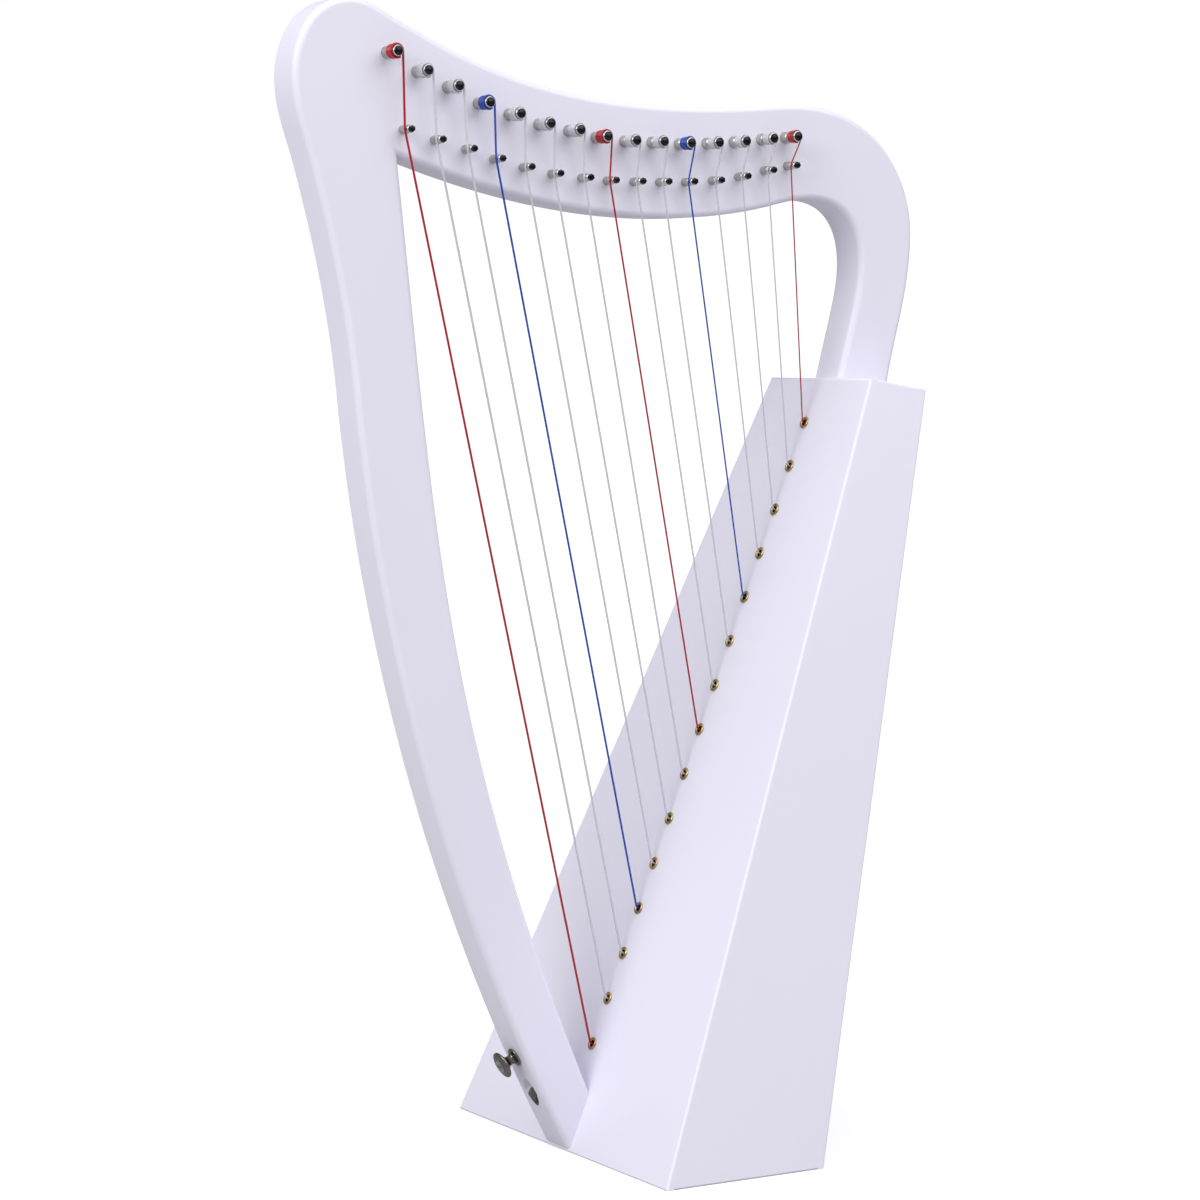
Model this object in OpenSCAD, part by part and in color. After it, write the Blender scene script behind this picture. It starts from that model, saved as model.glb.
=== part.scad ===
// Fifteen-string lap harp: a curved frame standing on a tapered soundbox,
// fifteen tuning pins that turn in the neck, fifteen bridge pins and fifteen strings.
// X runs from the pillar to the back of the soundbox, Y across the box, Z up.
// The strings and their pins are on the -Y face of the neck.
// The origin is the middle of the soundbox's base, on the ground.

/* [Overall] */

// Height of the whole harp, ground to the top of the head
harp_height = 590; // [480:1:720]

// Thickness of the pillar and the neck, front face to back face
frame_thickness = 25; // [20:1:32]

/* [Soundbox] */

// Width of the soundbox at the ground
soundbox_base_width = 218; // [180:1:264]

// Width of the soundbox at its top end
soundbox_top_width = 95.5; // [76:0.5:116]

// Thickness of the soundboard the strings pull on
soundboard_thickness = 4; // [3:0.5:6]

// Thickness of the two side panels
side_thickness = 7; // [5:0.5:9]

// Thickness of the back panel
back_thickness = 4; // [3:0.5:6]

// Thickness of the base plate
base_thickness = 8; // [6:0.5:10]

// Diameter of the lowest and largest sound hole in the back
sound_hole_diameter = 64; // [40:1:80]

/* [Tuning pins] */

// Diameter of a tuning pin where it turns in the neck
tuning_pin_diameter = 6; // [5:0.1:7.4]

// How far a tuning pin stands out on the string side
tuning_pin_reach = 14; // [11:0.5:18]

// How far a tuning pin stands out on the key side
key_end_reach = 13; // [9:0.5:18]

// Turns of string wound on each tuning pin
coil_turns = 4; // [2:1:5]

/* [Bridge pins] */

// Diameter of a bridge pin above the neck
bridge_pin_diameter = 4.4; // [3.4:0.1:5.6]

// How far a bridge pin stands out of the neck
bridge_pin_reach = 11.4; // [9:0.2:14]

/* [Strings] */

// Diameter of the longest string
bass_string_diameter = 1.2; // [0.8:0.05:1.4]

// Diameter of the shortest string
treble_string_diameter = 0.7; // [0.5:0.05:0.8]

// Diameter of the brass eyelet flanges
eyelet_diameter = 7; // [6:0.1:8.4]

/* [Fittings] */

// Diameter of the strap button's head
strap_button_diameter = 14.5; // [10:0.5:18]

// Diameter of the bolt that holds the pillar to the soundbox
foot_bolt_diameter = 6; // [4:0.5:7]

// Diameter of the wooden dowels hidden in the frame joints
dowel_diameter = 8; // [6:0.5:10]

/* [Clearances] */

// Radial gap between a tuning pin and its bore in the neck
turning_gap = 0.06; // [0.02:0.01:0.1]

// Radial gap round glued and driven pieces
seat_gap = 0.03; // [0.01:0.01:0.06]

// Gap between a string that stays and a coil that turns
string_gap = 0.3; // [0.2:0.05:0.4]

/* [Hidden] */

$fn = 64;
string_count = 15;

// Every length in the side view grows with the height of the harp
u = harp_height / 590;

// x of the soundboard's bottom edge, in front of the middle of the base
base_front = -47.25 * u;

lacquer_white = [0.9, 0.89, 0.93];
raw_wood = [0.78, 0.62, 0.42];
chrome = [0.72, 0.72, 0.74];
brass = [0.83, 0.66, 0.3];
string_red = [0.75, 0.1, 0.13];
string_blue = [0.1, 0.25, 0.65];
string_clear = [0.88, 0.88, 0.9];

// ---------- curves ----------

function bend(a, b, c, d, t) =
    pow(1 - t, 3) * a + 3 * pow(1 - t, 2) * t * b + 3 * (1 - t) * t * t * c + t * t * t * d;

// a point of a side-view curve, at the harp's own size and place
function along(p, t) = u * bend(p[0], p[1], p[2], p[3], t) + [base_front, 0];

function curve(p, steps, from = 0, to = 1) =
    [for (i = [0 : steps]) along(p, from + (to - from) * i / steps)];

// Side-view curves of the frame, as [x, z] control points of a 590 mm harp,
// measured from the soundboard's bottom edge
pillar_front_high = [[-145.3, 512], [-132.3, 468], [-123.1, 425], [-119.6, 381]];
pillar_front_low = [[-119.6, 381], [-117, 370], [-104.7, 193.4], [1.8, -2]];
pillar_inside = [[-95.2, 497], [-75.5, 320.3], [-69.5, 218.8], [14, 28]];
head_left = [[-145.3, 512], [-150.3, 527.5], [-154, 535], [-154, 550]];
head_top = [[-154, 550], [-154, 563], [-147, 588.8], [-121.5, 588.8]];
head_right = [[-121.5, 588.8], [-112, 588.8], [-104, 582], [-93, 577.3]];
neck_top = [[-93, 577.3], [-56.1, 559.6], [10.2, 527.7], [157.7, 548.6]];
shoulder_high = [[127.9, 545], [199.5, 551.4], [215.2, 500.3], [215.2, 480]];
shoulder_low = [[215.2, 480], [215.2, 446], [204, 424], [199, 392]];
elbow_inside = [[165.5, 392], [173, 425], [181.3, 446], [181.3, 462]];
elbow_corner = [[181.3, 462], [181.3, 507], [137, 495], [130, 493]];
neck_under = [[130, 493], [27.7, 467.1], [-75.8, 505.9], [-96.9, 512]];

// ---------- soundbox planes ----------

box_front_top = u * [163.5, 401] + [base_front, 0];
box_back_top = u * [199, 394.8] + [base_front, 0];
box_back_base = -base_front;
front_lean = atan((box_front_top.x - base_front) / box_front_top.y);
back_lean = atan((box_back_top.x - box_back_base) / box_back_top.y);
roof_slope = (box_front_top.y - box_back_top.y) / (box_back_top.x - box_front_top.x);
roof_tilt = atan(roof_slope);
side_slope = (soundbox_base_width - soundbox_top_width) / 2 / box_front_top.y;
top_block_thickness = 14 * u;
rib_thickness = 7 * u;
rib_width = 22 * u;
rib_low = 44 * u;

// x of the soundboard face at height z, a depth behind it
function front_x(z, depth) = base_front + z * tan(front_lean) + depth / cos(front_lean);

// x of the back face at height z, a depth in front of it
function back_x(z, depth) = box_back_base + z * tan(back_lean) - depth / cos(back_lean);

// z of the roof at x, a depth under it
function roof_z(x, depth) =
    box_front_top.y - (x - box_front_top.x) * roof_slope - depth / cos(roof_tilt);

// height where a plane behind the soundboard meets a plane under the roof
function front_roof_z(front, under) =
    roof_z(front_x(0, front), under) / (1 + tan(front_lean) * roof_slope);

// height where a plane before the back meets a plane under the roof
function back_roof_z(back, under) =
    roof_z(back_x(0, back), under) / (1 + tan(back_lean) * roof_slope);

// half width of the box at height z, a depth inside its sides
function half_width(z, depth) =
    soundbox_base_width / 2 - z * side_slope - depth / cos(atan(side_slope));

// ---------- strings ----------

function string_radius(i) =
    (bass_string_diameter + (treble_string_diameter - bass_string_diameter) * i / 14) / 2;

function eyelet_run(i) = u * (57 + 25 * i);
function eyelet_x(i) = base_front + eyelet_run(i) * sin(front_lean);
function eyelet_z(i) = eyelet_run(i) * cos(front_lean);

// the two rows of pins follow the curve of the neck, and each pin sits
// a little off the even spacing, so that every string clears its neighbours
tuning_shift_x = [-1.4, -1.5, -1.1, -0.6, 0.2, 0.6, 1.2, 0.4, 0.6, 0.3, 0, 0.2, 0.1, 0.4, -1.3];
tuning_shift_z = [-0.3, -0.5, 0, -1.2, -0.9, -1, -0.4, -0.9, -0.9, -0.2, -0.3, 0.2, 0.4, 0.7, -0.2];
bridge_shift_x = [0.5, 1.7, 2.9, 2.7, 3.1, 3.4, 4.7, 3.4, 3, 2.3, 1.6, 1.7, 1.7, 1.4, -0.3];
bridge_shift_z = [0, 0.5, 0.8, 0.1, -0.5, -0.9, -0.7, -0.6, -0.2, -0.1, -0.5, -0.8, -0.4, 0.5, 0];

function tuning_row(i) = 522.6 + (i < 10 ? 0.2 * pow(10 - i, 2.3) : 0.33 * pow(i - 10, 2));
function tuning_x(i) = base_front + u * (-102 + 16.8 * i + tuning_shift_x[i]);
function tuning_z(i) = u * (tuning_row(i) + tuning_shift_z[i]);
function bridge_x(i) = base_front + u * (-95.4 + 16.34 * i + bridge_shift_x[i]);
function bridge_z(i) = u * (502.4 + 0.322 * pow(i - 8.3, 2) + bridge_shift_z[i]);

// colours repeat with the octave: C strings red, F strings blue
function string_colour(i) =
    i % 7 == 0 ? string_red : (i == 3 || i == 10) ? string_blue : string_clear;

// ---------- pins, measured outward from the string-side face of the neck ----------

face = frame_thickness / 2;
pin_radius = tuning_pin_diameter / 2;
seat_radius = pin_radius * 0.84;
seat_start = tuning_pin_reach * 0.36;
collar_start = tuning_pin_reach * 0.84;
key_square = pin_radius * 1.38;
groove_radius = bridge_pin_diameter * 0.36;
groove_height = bridge_pin_reach * 0.63;
groove_half = max(0.85, string_radius(0) + 0.2);
bridge_depth = frame_thickness * 0.5;
bridge_shank_radius = bridge_pin_diameter * 0.4;

// coil of string i: the last turn leaves room for the string beside it
function string_leave(i) = collar_start - string_radius(i) - 0.1;
function coil_top(i) = string_leave(i) - string_radius(i) - string_gap;
function coil_pitch(i) =
    min(1.96 * string_radius(i), (coil_top(i) - seat_start - 0.2) / coil_turns);
function coil_ring(i) = seat_radius + seat_gap + string_radius(i);
function string_ring(i) = seat_radius + string_gap + string_radius(i);
function groove_ring(i) = groove_radius + seat_gap + string_radius(i) * 1.03;

// heading of the string from the tuning pin to the bridge pin, crossing sides
function pin_run(i) =
    norm([bridge_x(i) - tuning_x(i), bridge_z(i) - tuning_z(i)]);
function pin_heading(i) =
    atan2(bridge_z(i) - tuning_z(i), bridge_x(i) - tuning_x(i))
    - asin((string_ring(i) + groove_ring(i)) / pin_run(i));

// angles on the bridge pin where the string arrives and where it leaves
function arrive_angle(i) = pin_heading(i) + 270;
function mouth_height() = 1.5;
function mouth(i) = [
    eyelet_x(i) - mouth_height() * cos(front_lean), 0,
    eyelet_z(i) + mouth_height() * sin(front_lean)
];
function mouth_run(i) = norm([mouth(i).x - bridge_x(i), mouth(i).z - bridge_z(i)]);
function leave_angle(i) =
    atan2(mouth(i).z - bridge_z(i), mouth(i).x - bridge_x(i)) + 360
    - acos(groove_ring(i) / mouth_run(i));

function groove_point(i, angle) = [
    bridge_x(i) + groove_ring(i) * cos(angle),
    -face - groove_height,
    bridge_z(i) + groove_ring(i) * sin(angle)
];

knot_radius = 2.2;
eyelet_bore = 1.7;
knot_depth = soundboard_thickness + rib_thickness + sqrt(pow(knot_radius, 2) - pow(eyelet_bore, 2)) + 0.1;

// every bend of one string, from its knot to the tuning pin
function string_route(i) = [
    [
        eyelet_x(i) + knot_depth * cos(front_lean), 0,
        eyelet_z(i) - knot_depth * sin(front_lean)
    ],
    mouth(i),
    for (k = [3 : -1 : 0])
        groove_point(i, arrive_angle(i) + (leave_angle(i) - arrive_angle(i)) * k / 3),
    [
        tuning_x(i) + string_ring(i) * cos(pin_heading(i) + 90),
        -face - string_leave(i),
        tuning_z(i) + string_ring(i) * sin(pin_heading(i) + 90)
    ]
];

// ---------- helpers ----------

// side-view outline made into a board across Y
module board(points, thickness) {
    rotate([90, 0, 0])
        linear_extrude(height = thickness, center = true)
            polygon(points);
}

// side-view section of the box, set in from each face
module box_section(front, back, under, floor_z) {
    board([
        [front_x(floor_z, front), floor_z],
        [back_x(floor_z, back), floor_z],
        [back_x(back_roof_z(back, under), back), back_roof_z(back, under)],
        [front_x(front_roof_z(front, under), front), front_roof_z(front, under)]
    ], 2 * soundbox_base_width);
}

// end-view taper of the box, set in from the sides
module box_taper(inset) {
    rotate([90, 0, 90])
        linear_extrude(height = 8 * box_back_top.x, center = true)
            polygon([
                [-half_width(-20, inset), -20],
                [half_width(-20, inset), -20],
                [half_width(1.2 * box_front_top.y, inset), 1.2 * box_front_top.y],
                [-half_width(1.2 * box_front_top.y, inset), 1.2 * box_front_top.y]
            ]);
}

// a point up the soundboard, with Z pointing out of its face
module on_soundboard(run) {
    translate([base_front + run * sin(front_lean), 0, run * cos(front_lean)])
        rotate([0, front_lean - 90, 0])
            children();
}

// a point on the back panel, with Z pointing out of its face
module on_back(z) {
    translate([back_x(z, 0), 0, z])
        rotate([0, 90 + back_lean, 0])
            children();
}

// a pin axis in the neck, with Z pointing out of the string side
module on_neck(x, z) {
    translate([x, 0, z])
        rotate([90, 0, 0])
            children();
}

module rod(a, b, radius) {
    run = b - a;
    translate(a)
        rotate([0, acos(run.z / norm(run)), atan2(run.y, run.x)])
            cylinder(h = norm(run), r = radius);
}

// ---------- frame ----------

joint_z = 512 * u;
joint_left = base_front - 145.3 * u;
joint_right = base_front - 96.9 * u;
joint_dowel_half = 20 * u;
roof_dowel_depth = 11 * u;

// two dowels in the pillar joint, two in the foot of the elbow
module frame_dowel_set(extra) {
    for (part = [0.27, 0.73])
        translate([joint_left + (joint_right - joint_left) * part, 0, joint_z])
            cylinder(h = 2 * joint_dowel_half + 2 * extra, d = dowel_diameter + 2 * extra, center = true);
    for (part = [0.3, 0.7])
        translate([
            box_front_top.x + (box_back_top.x - box_front_top.x) * part, 0,
            roof_z(box_front_top.x + (box_back_top.x - box_front_top.x) * part, 0)
        ])
            rotate([0, roof_tilt, 0])
                cylinder(h = 2 * roof_dowel_depth + 2 * extra, d = dowel_diameter + 2 * extra, center = true);
}

// the bolt enters the front of the pillar's foot, square to the soundboard
bolt_point = along(pillar_front_low, 0.944);
bolt_to_board = bolt_point.y * sin(front_lean) - (bolt_point.x - base_front) * cos(front_lean);
bolt_radius = foot_bolt_diameter / 2;
bolt_head_radius = foot_bolt_diameter * 0.78;
bolt_head_height = foot_bolt_diameter;
bolt_head_seat = 12 * u;
bolt_end = bolt_to_board + soundboard_thickness + 14 * u;

module on_bolt() {
    translate([bolt_point.x, 0, bolt_point.y])
        rotate([0, front_lean - 90, 0])
            children();
}

module bolt_bore(gap) {
    on_bolt()
        translate([0, 0, -bolt_end - 1])
            cylinder(h = bolt_end + 1, r = bolt_radius + gap);
}

// where the strap button stands on the front edge of the pillar
strap_place = 0.909;
strap_point = along(pillar_front_low, strap_place);
strap_slope = along(pillar_front_low, strap_place + 0.01) - along(pillar_front_low, strap_place - 0.01);
strap_heading = atan2(-strap_slope.x, strap_slope.y);
strap_screw_radius = strap_button_diameter * 0.12;
strap_screw_depth = 12 * u;

module on_strap() {
    translate([strap_point.x, 0, strap_point.y])
        rotate([0, 90 - strap_heading, 0])
            children();
}

module pillar() {
    color(lacquer_white)
        difference() {
            board(concat(
                curve(pillar_front_high, 12),
                [for (i = [1 : 30]) along(pillar_front_low, i / 30)],
                [[base_front + 30 * u, -6 * u]],
                [for (i = [28 : -1 : 0]) along(pillar_inside, i / 28)],
                [[joint_right, joint_z]]
            ), frame_thickness);
            // the foot is cut to sit on the soundboard and stops just above the ground
            board([
                [front_x(-40, 0), -40],
                [front_x(0.5 * box_front_top.y, 0), 0.5 * box_front_top.y],
                [box_back_top.x, 0.5 * box_front_top.y],
                [box_back_top.x, -40]
            ], 2 * frame_thickness);
            translate([base_front - 100 * u, -frame_thickness, -60])
                cube([200 * u, 2 * frame_thickness, 60 + 2 * u]);
            frame_dowel_set(seat_gap);
            bolt_bore(0.25);
            on_bolt()
                translate([0, 0, -bolt_head_seat])
                    cylinder(h = bolt_head_seat + 20, r = bolt_head_radius + 0.35);
            on_strap()
                translate([0, 0, -strap_screw_depth - 0.5])
                    cylinder(h = strap_screw_depth + 2, r = strap_screw_radius + seat_gap);
        }
}

module neck() {
    color(lacquer_white)
        difference() {
            board(concat(
                curve(head_left, 6),
                [for (k = [1 : 10]) curve(head_top, 10)[k]],
                [for (k = [1 : 5]) curve(head_right, 5)[k]],
                [for (k = [1 : 19]) curve(neck_top, 19, 0, 0.93)[k]],
                [for (k = [1 : 14]) curve(shoulder_high, 14)[k]],
                [for (k = [1 : 8]) curve(shoulder_low, 8)[k]],
                curve(elbow_inside, 8),
                [for (k = [1 : 10]) curve(elbow_corner, 10)[k]],
                [for (k = [1 : 18]) curve(neck_under, 18)[k]]
            ), frame_thickness);
            // the end of the elbow is cut to stand on the sloping roof of the box
            board([
                [box_front_top.x - 60 * u, roof_z(box_front_top.x - 60 * u, 0)],
                [box_back_top.x + 60 * u, roof_z(box_back_top.x + 60 * u, 0)],
                [box_back_top.x + 60 * u, 0],
                [box_front_top.x - 60 * u, 0]
            ], 2 * frame_thickness);
            frame_dowel_set(seat_gap);
            for (i = [0 : string_count - 1]) {
                on_neck(tuning_x(i), tuning_z(i))
                    cylinder(h = 2 * frame_thickness, r = pin_radius + turning_gap, center = true);
                on_neck(bridge_x(i), bridge_z(i))
                    translate([0, 0, face - bridge_depth - 0.5])
                        cylinder(h = bridge_depth + 2, r = bridge_shank_radius + seat_gap);
            }
        }
}

module frame_dowels() {
    color(raw_wood)
        frame_dowel_set(0);
}

module foot_bolt() {
    color(chrome)
        on_bolt()
            difference() {
                union() {
                    translate([0, 0, -bolt_head_seat])
                        cylinder(h = bolt_head_height, r = bolt_head_radius);
                    translate([0, 0, -bolt_end])
                        cylinder(h = bolt_end - bolt_head_seat + 1, r = bolt_radius);
                }
                translate([0, 0, bolt_head_height * 0.45 - bolt_head_seat])
                    cylinder(h = bolt_head_height, r = bolt_radius * 0.85, $fn = 6);
            }
}

// ---------- soundbox ----------

module foot_block() {
    color(raw_wood)
        difference() {
            board([
                [front_x(base_thickness, soundboard_thickness), base_thickness],
                [front_x(base_thickness, soundboard_thickness) + 38 * u, base_thickness],
                [front_x(base_thickness, soundboard_thickness) + 38 * u, base_thickness + 12 * u],
                [front_x(rib_low - 2 * u, soundboard_thickness), rib_low - 2 * u]
            ], 60 * u);
            bolt_bore(seat_gap);
        }
}

module soundboard() {
    color(lacquer_white)
        difference() {
            intersection() {
                board([
                    [front_x(0, 0), 0],
                    [front_x(0, soundboard_thickness), 0],
                    [
                        front_x(front_roof_z(soundboard_thickness, 0), soundboard_thickness),
                        front_roof_z(soundboard_thickness, 0)
                    ],
                    box_front_top
                ], 2 * soundbox_base_width);
                box_taper(0);
            }
            for (i = [0 : string_count - 1])
                on_soundboard(eyelet_run(i))
                    translate([0, 0, -soundboard_thickness - 1])
                        cylinder(h = soundboard_thickness + 2, r = eyelet_bore + 0.8 + seat_gap);
            bolt_bore(0.25);
        }
}

module side_panels() {
    color(lacquer_white)
        difference() {
            intersection() {
                box_section(soundboard_thickness, back_thickness, 0, 0);
                box_taper(0);
            }
            box_taper(side_thickness);
        }
}

module back_panel() {
    color(lacquer_white)
        difference() {
            intersection() {
                board([
                    [back_x(0, back_thickness), 0],
                    [back_x(0, 0), 0],
                    box_back_top,
                    [
                        back_x(back_roof_z(back_thickness, 0), back_thickness),
                        back_roof_z(back_thickness, 0)
                    ]
                ], 2 * soundbox_base_width);
                box_taper(0);
            }
            // four round holes, smaller towards the top, give reach to the knots
            for (k = [0 : 3])
                on_back(u * (84 + 80 * k))
                    cylinder(h = 4 * back_thickness, d = sound_hole_diameter * (1 - 0.14 * k), center = true);
        }
}

module base_plate() {
    color(raw_wood)
        difference() {
            intersection() {
                board([
                    [front_x(0, soundboard_thickness), 0],
                    [back_x(0, back_thickness), 0],
                    [back_x(base_thickness, back_thickness), base_thickness],
                    [front_x(base_thickness, soundboard_thickness), base_thickness]
                ], 2 * soundbox_base_width);
                box_taper(side_thickness);
            }
            bolt_bore(seat_gap);
        }
}

module top_block() {
    color(lacquer_white)
        difference() {
            intersection() {
                board([
                    [
                        front_x(front_roof_z(soundboard_thickness, 0), soundboard_thickness),
                        front_roof_z(soundboard_thickness, 0)
                    ],
                    [
                        back_x(back_roof_z(back_thickness, 0), back_thickness),
                        back_roof_z(back_thickness, 0)
                    ],
                    [
                        back_x(back_roof_z(back_thickness, top_block_thickness), back_thickness),
                        back_roof_z(back_thickness, top_block_thickness)
                    ],
                    [
                        front_x(front_roof_z(soundboard_thickness, top_block_thickness), soundboard_thickness),
                        front_roof_z(soundboard_thickness, top_block_thickness)
                    ]
                ], 2 * soundbox_base_width);
                box_taper(side_thickness);
            }
            frame_dowel_set(seat_gap);
        }
}

module string_rib() {
    rib_back = soundboard_thickness + rib_thickness;
    color(raw_wood)
        difference() {
            board([
                [front_x(rib_low, soundboard_thickness), rib_low],
                [front_x(rib_low, rib_back), rib_low],
                [
                    front_x(front_roof_z(rib_back, top_block_thickness), rib_back),
                    front_roof_z(rib_back, top_block_thickness)
                ],
                [
                    front_x(front_roof_z(soundboard_thickness, top_block_thickness), soundboard_thickness),
                    front_roof_z(soundboard_thickness, top_block_thickness)
                ]
            ], rib_width);
            for (i = [0 : string_count - 1])
                on_soundboard(eyelet_run(i))
                    translate([0, 0, -rib_back - 5])
                        cylinder(h = rib_back + 5, r = eyelet_bore);
        }
}

module string_eyelets() {
    flange = eyelet_diameter / 2;
    color(brass)
        for (i = [0 : string_count - 1])
            on_soundboard(eyelet_run(i))
                rotate_extrude()
                    polygon([
                        [eyelet_bore, -soundboard_thickness],
                        [eyelet_bore + 0.8, -soundboard_thickness],
                        [eyelet_bore + 0.8, 0],
                        [flange, 0],
                        [flange, 0.45],
                        [flange - 0.4, 0.8],
                        [flange - 0.9, 0.95],
                        [eyelet_bore + 0.5, 0.9],
                        [eyelet_bore, 0.5]
                    ]);
}

module bridge_pins() {
    radius = bridge_pin_diameter / 2;
    color(chrome)
        for (i = [0 : string_count - 1])
            on_neck(bridge_x(i), bridge_z(i))
                translate([0, 0, face]) {
                    rotate_extrude()
                        polygon([
                            [0, -bridge_depth],
                            [bridge_shank_radius, -bridge_depth],
                            [bridge_shank_radius, 0],
                            [radius, 0],
                            [radius, groove_height - groove_half - 0.5],
                            [groove_radius, groove_height - groove_half],
                            [groove_radius, groove_height + groove_half],
                            [radius * 0.92, groove_height + groove_half + 0.5],
                            [radius * 0.92, bridge_pin_reach * 0.84],
                            [radius * 0.85, bridge_pin_reach * 0.86],
                            [0, bridge_pin_reach * 0.86]
                        ]);
                    cylinder(h = bridge_pin_reach, r = radius * 0.82, $fn = 6);
                }
}

// ---------- fittings on the pillar ----------

module strap_button() {
    head = strap_button_diameter / 2;
    color(chrome)
        on_strap()
            translate([0, 0, 0.15])
                rotate_extrude()
                    polygon([
                        [strap_screw_radius + seat_gap, -0.15],
                        [head * 0.66, -0.15],
                        [head * 0.68, 0.9],
                        [head * 0.5, 1.7],
                        [head * 0.36, 3],
                        [head * 0.38, 4.6],
                        [head * 0.58, 6.3],
                        [head * 0.88, 7.4],
                        [head, 8.2],
                        [head * 0.96, 8.9],
                        [head * 0.6, 9.6],
                        [strap_screw_radius * 1.9, 9.7],
                        [strap_screw_radius + seat_gap, 9.7 - strap_screw_radius * 0.9]
                    ]);
}

module strap_button_screw() {
    color(chrome)
        on_strap()
            difference() {
                rotate_extrude()
                    polygon([
                        [0, -strap_screw_depth],
                        [strap_screw_radius * 0.3, -strap_screw_depth],
                        [strap_screw_radius, -strap_screw_depth * 0.8],
                        [strap_screw_radius, 9.91 - strap_screw_radius * 0.9],
                        [strap_screw_radius + seat_gap, 9.91 - strap_screw_radius * 0.9],
                        [strap_screw_radius * 1.9, 9.91],
                        [strap_screw_radius * 1.5, 10.2],
                        [0, 10.4]
                    ]);
                for (turn = [0, 90])
                    rotate([0, 0, turn])
                        translate([-strap_screw_radius, -0.25, 9.3])
                            cube([2 * strap_screw_radius, 0.5, 3]);
            }
}

// ---------- tuning pins, coils and strings ----------

module tuning_pin(i) {
    color(chrome)
        on_neck(tuning_x(i), tuning_z(i))
            difference() {
                union() {
                    rotate_extrude()
                        polygon([
                            [0, -face - 2.5],
                            [pin_radius - 0.3, -face - 2.5],
                            [pin_radius, -face - 2],
                            [pin_radius, face + seat_start - 0.4],
                            [seat_radius, face + seat_start],
                            [seat_radius, face + collar_start],
                            [seat_radius * 1.1, face + collar_start + 0.3],
                            [seat_radius * 1.1, face + tuning_pin_reach - 0.9],
                            [seat_radius * 0.86, face + tuning_pin_reach - 0.2],
                            [seat_radius * 0.4, face + tuning_pin_reach],
                            [0, face + tuning_pin_reach]
                        ]);
                    translate([-key_square / 2, -key_square / 2, -face - key_end_reach])
                        cube([key_square, key_square, key_end_reach - 2]);
                }
                // the hole the end of the string is threaded through
                translate([0, 0, face + seat_start + 1.2])
                    rotate([0, 90, 0])
                        cylinder(h = tuning_pin_diameter * 2, r = 0.75, center = true);
            }
}

// turns of string round the pin, side by side
module string_coil(i) {
    color(string_colour(i))
        on_neck(tuning_x(i), tuning_z(i))
            rotate_extrude()
                union() {
                    for (k = [0 : coil_turns - 1])
                        translate([coil_ring(i), face + coil_top(i) - string_radius(i) - k * coil_pitch(i)])
                            circle(r = string_radius(i));
                    translate([
                        seat_radius + seat_gap,
                        face + coil_top(i) - string_radius(i) - (coil_turns - 1) * coil_pitch(i)
                    ])
                        square([string_radius(i), (coil_turns - 1) * coil_pitch(i)]);
                }
}

module harp_string(i) {
    route = string_route(i);
    last = len(route) - 1;
    color(string_colour(i)) {
        union() {
            for (k = [0 : last - 1])
                rod(route[k], route[k + 1], string_radius(i));
            for (k = [1 : last - 1])
                translate(route[k])
                    sphere(r = string_radius(i) * 1.03);
            translate(route[0])
                sphere(r = knot_radius);
        }
    }
}

pillar();
neck();
frame_dowels();
foot_bolt();
foot_block();
soundboard();
side_panels();
back_panel();
base_plate();
top_block();
string_rib();
string_eyelets();
bridge_pins();
strap_button();
strap_button_screw();
tuning_pin(0);  // tuning_pin_01
tuning_pin(1);  // tuning_pin_02
tuning_pin(2);  // tuning_pin_03
tuning_pin(3);  // tuning_pin_04
tuning_pin(4);  // tuning_pin_05
tuning_pin(5);  // tuning_pin_06
tuning_pin(6);  // tuning_pin_07
tuning_pin(7);  // tuning_pin_08
tuning_pin(8);  // tuning_pin_09
tuning_pin(9);  // tuning_pin_10
tuning_pin(10);  // tuning_pin_11
tuning_pin(11);  // tuning_pin_12
tuning_pin(12);  // tuning_pin_13
tuning_pin(13);  // tuning_pin_14
tuning_pin(14);  // tuning_pin_15
string_coil(0);  // string_coil_01
string_coil(1);  // string_coil_02
string_coil(2);  // string_coil_03
string_coil(3);  // string_coil_04
string_coil(4);  // string_coil_05
string_coil(5);  // string_coil_06
string_coil(6);  // string_coil_07
string_coil(7);  // string_coil_08
string_coil(8);  // string_coil_09
string_coil(9);  // string_coil_10
string_coil(10);  // string_coil_11
string_coil(11);  // string_coil_12
string_coil(12);  // string_coil_13
string_coil(13);  // string_coil_14
string_coil(14);  // string_coil_15
harp_string(0);  // string_01
harp_string(1);  // string_02
harp_string(2);  // string_03
harp_string(3);  // string_04
harp_string(4);  // string_05
harp_string(5);  // string_06
harp_string(6);  // string_07
harp_string(7);  // string_08
harp_string(8);  // string_09
harp_string(9);  // string_10
harp_string(10);  // string_11
harp_string(11);  // string_12
harp_string(12);  // string_13
harp_string(13);  // string_14
harp_string(14);  // string_15
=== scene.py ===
"""Fifteen-string lap harp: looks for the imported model, in metres, in the model's own frame."""
import math
import random

import bmesh
import bpy
from mathutils import Matrix, Vector


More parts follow.
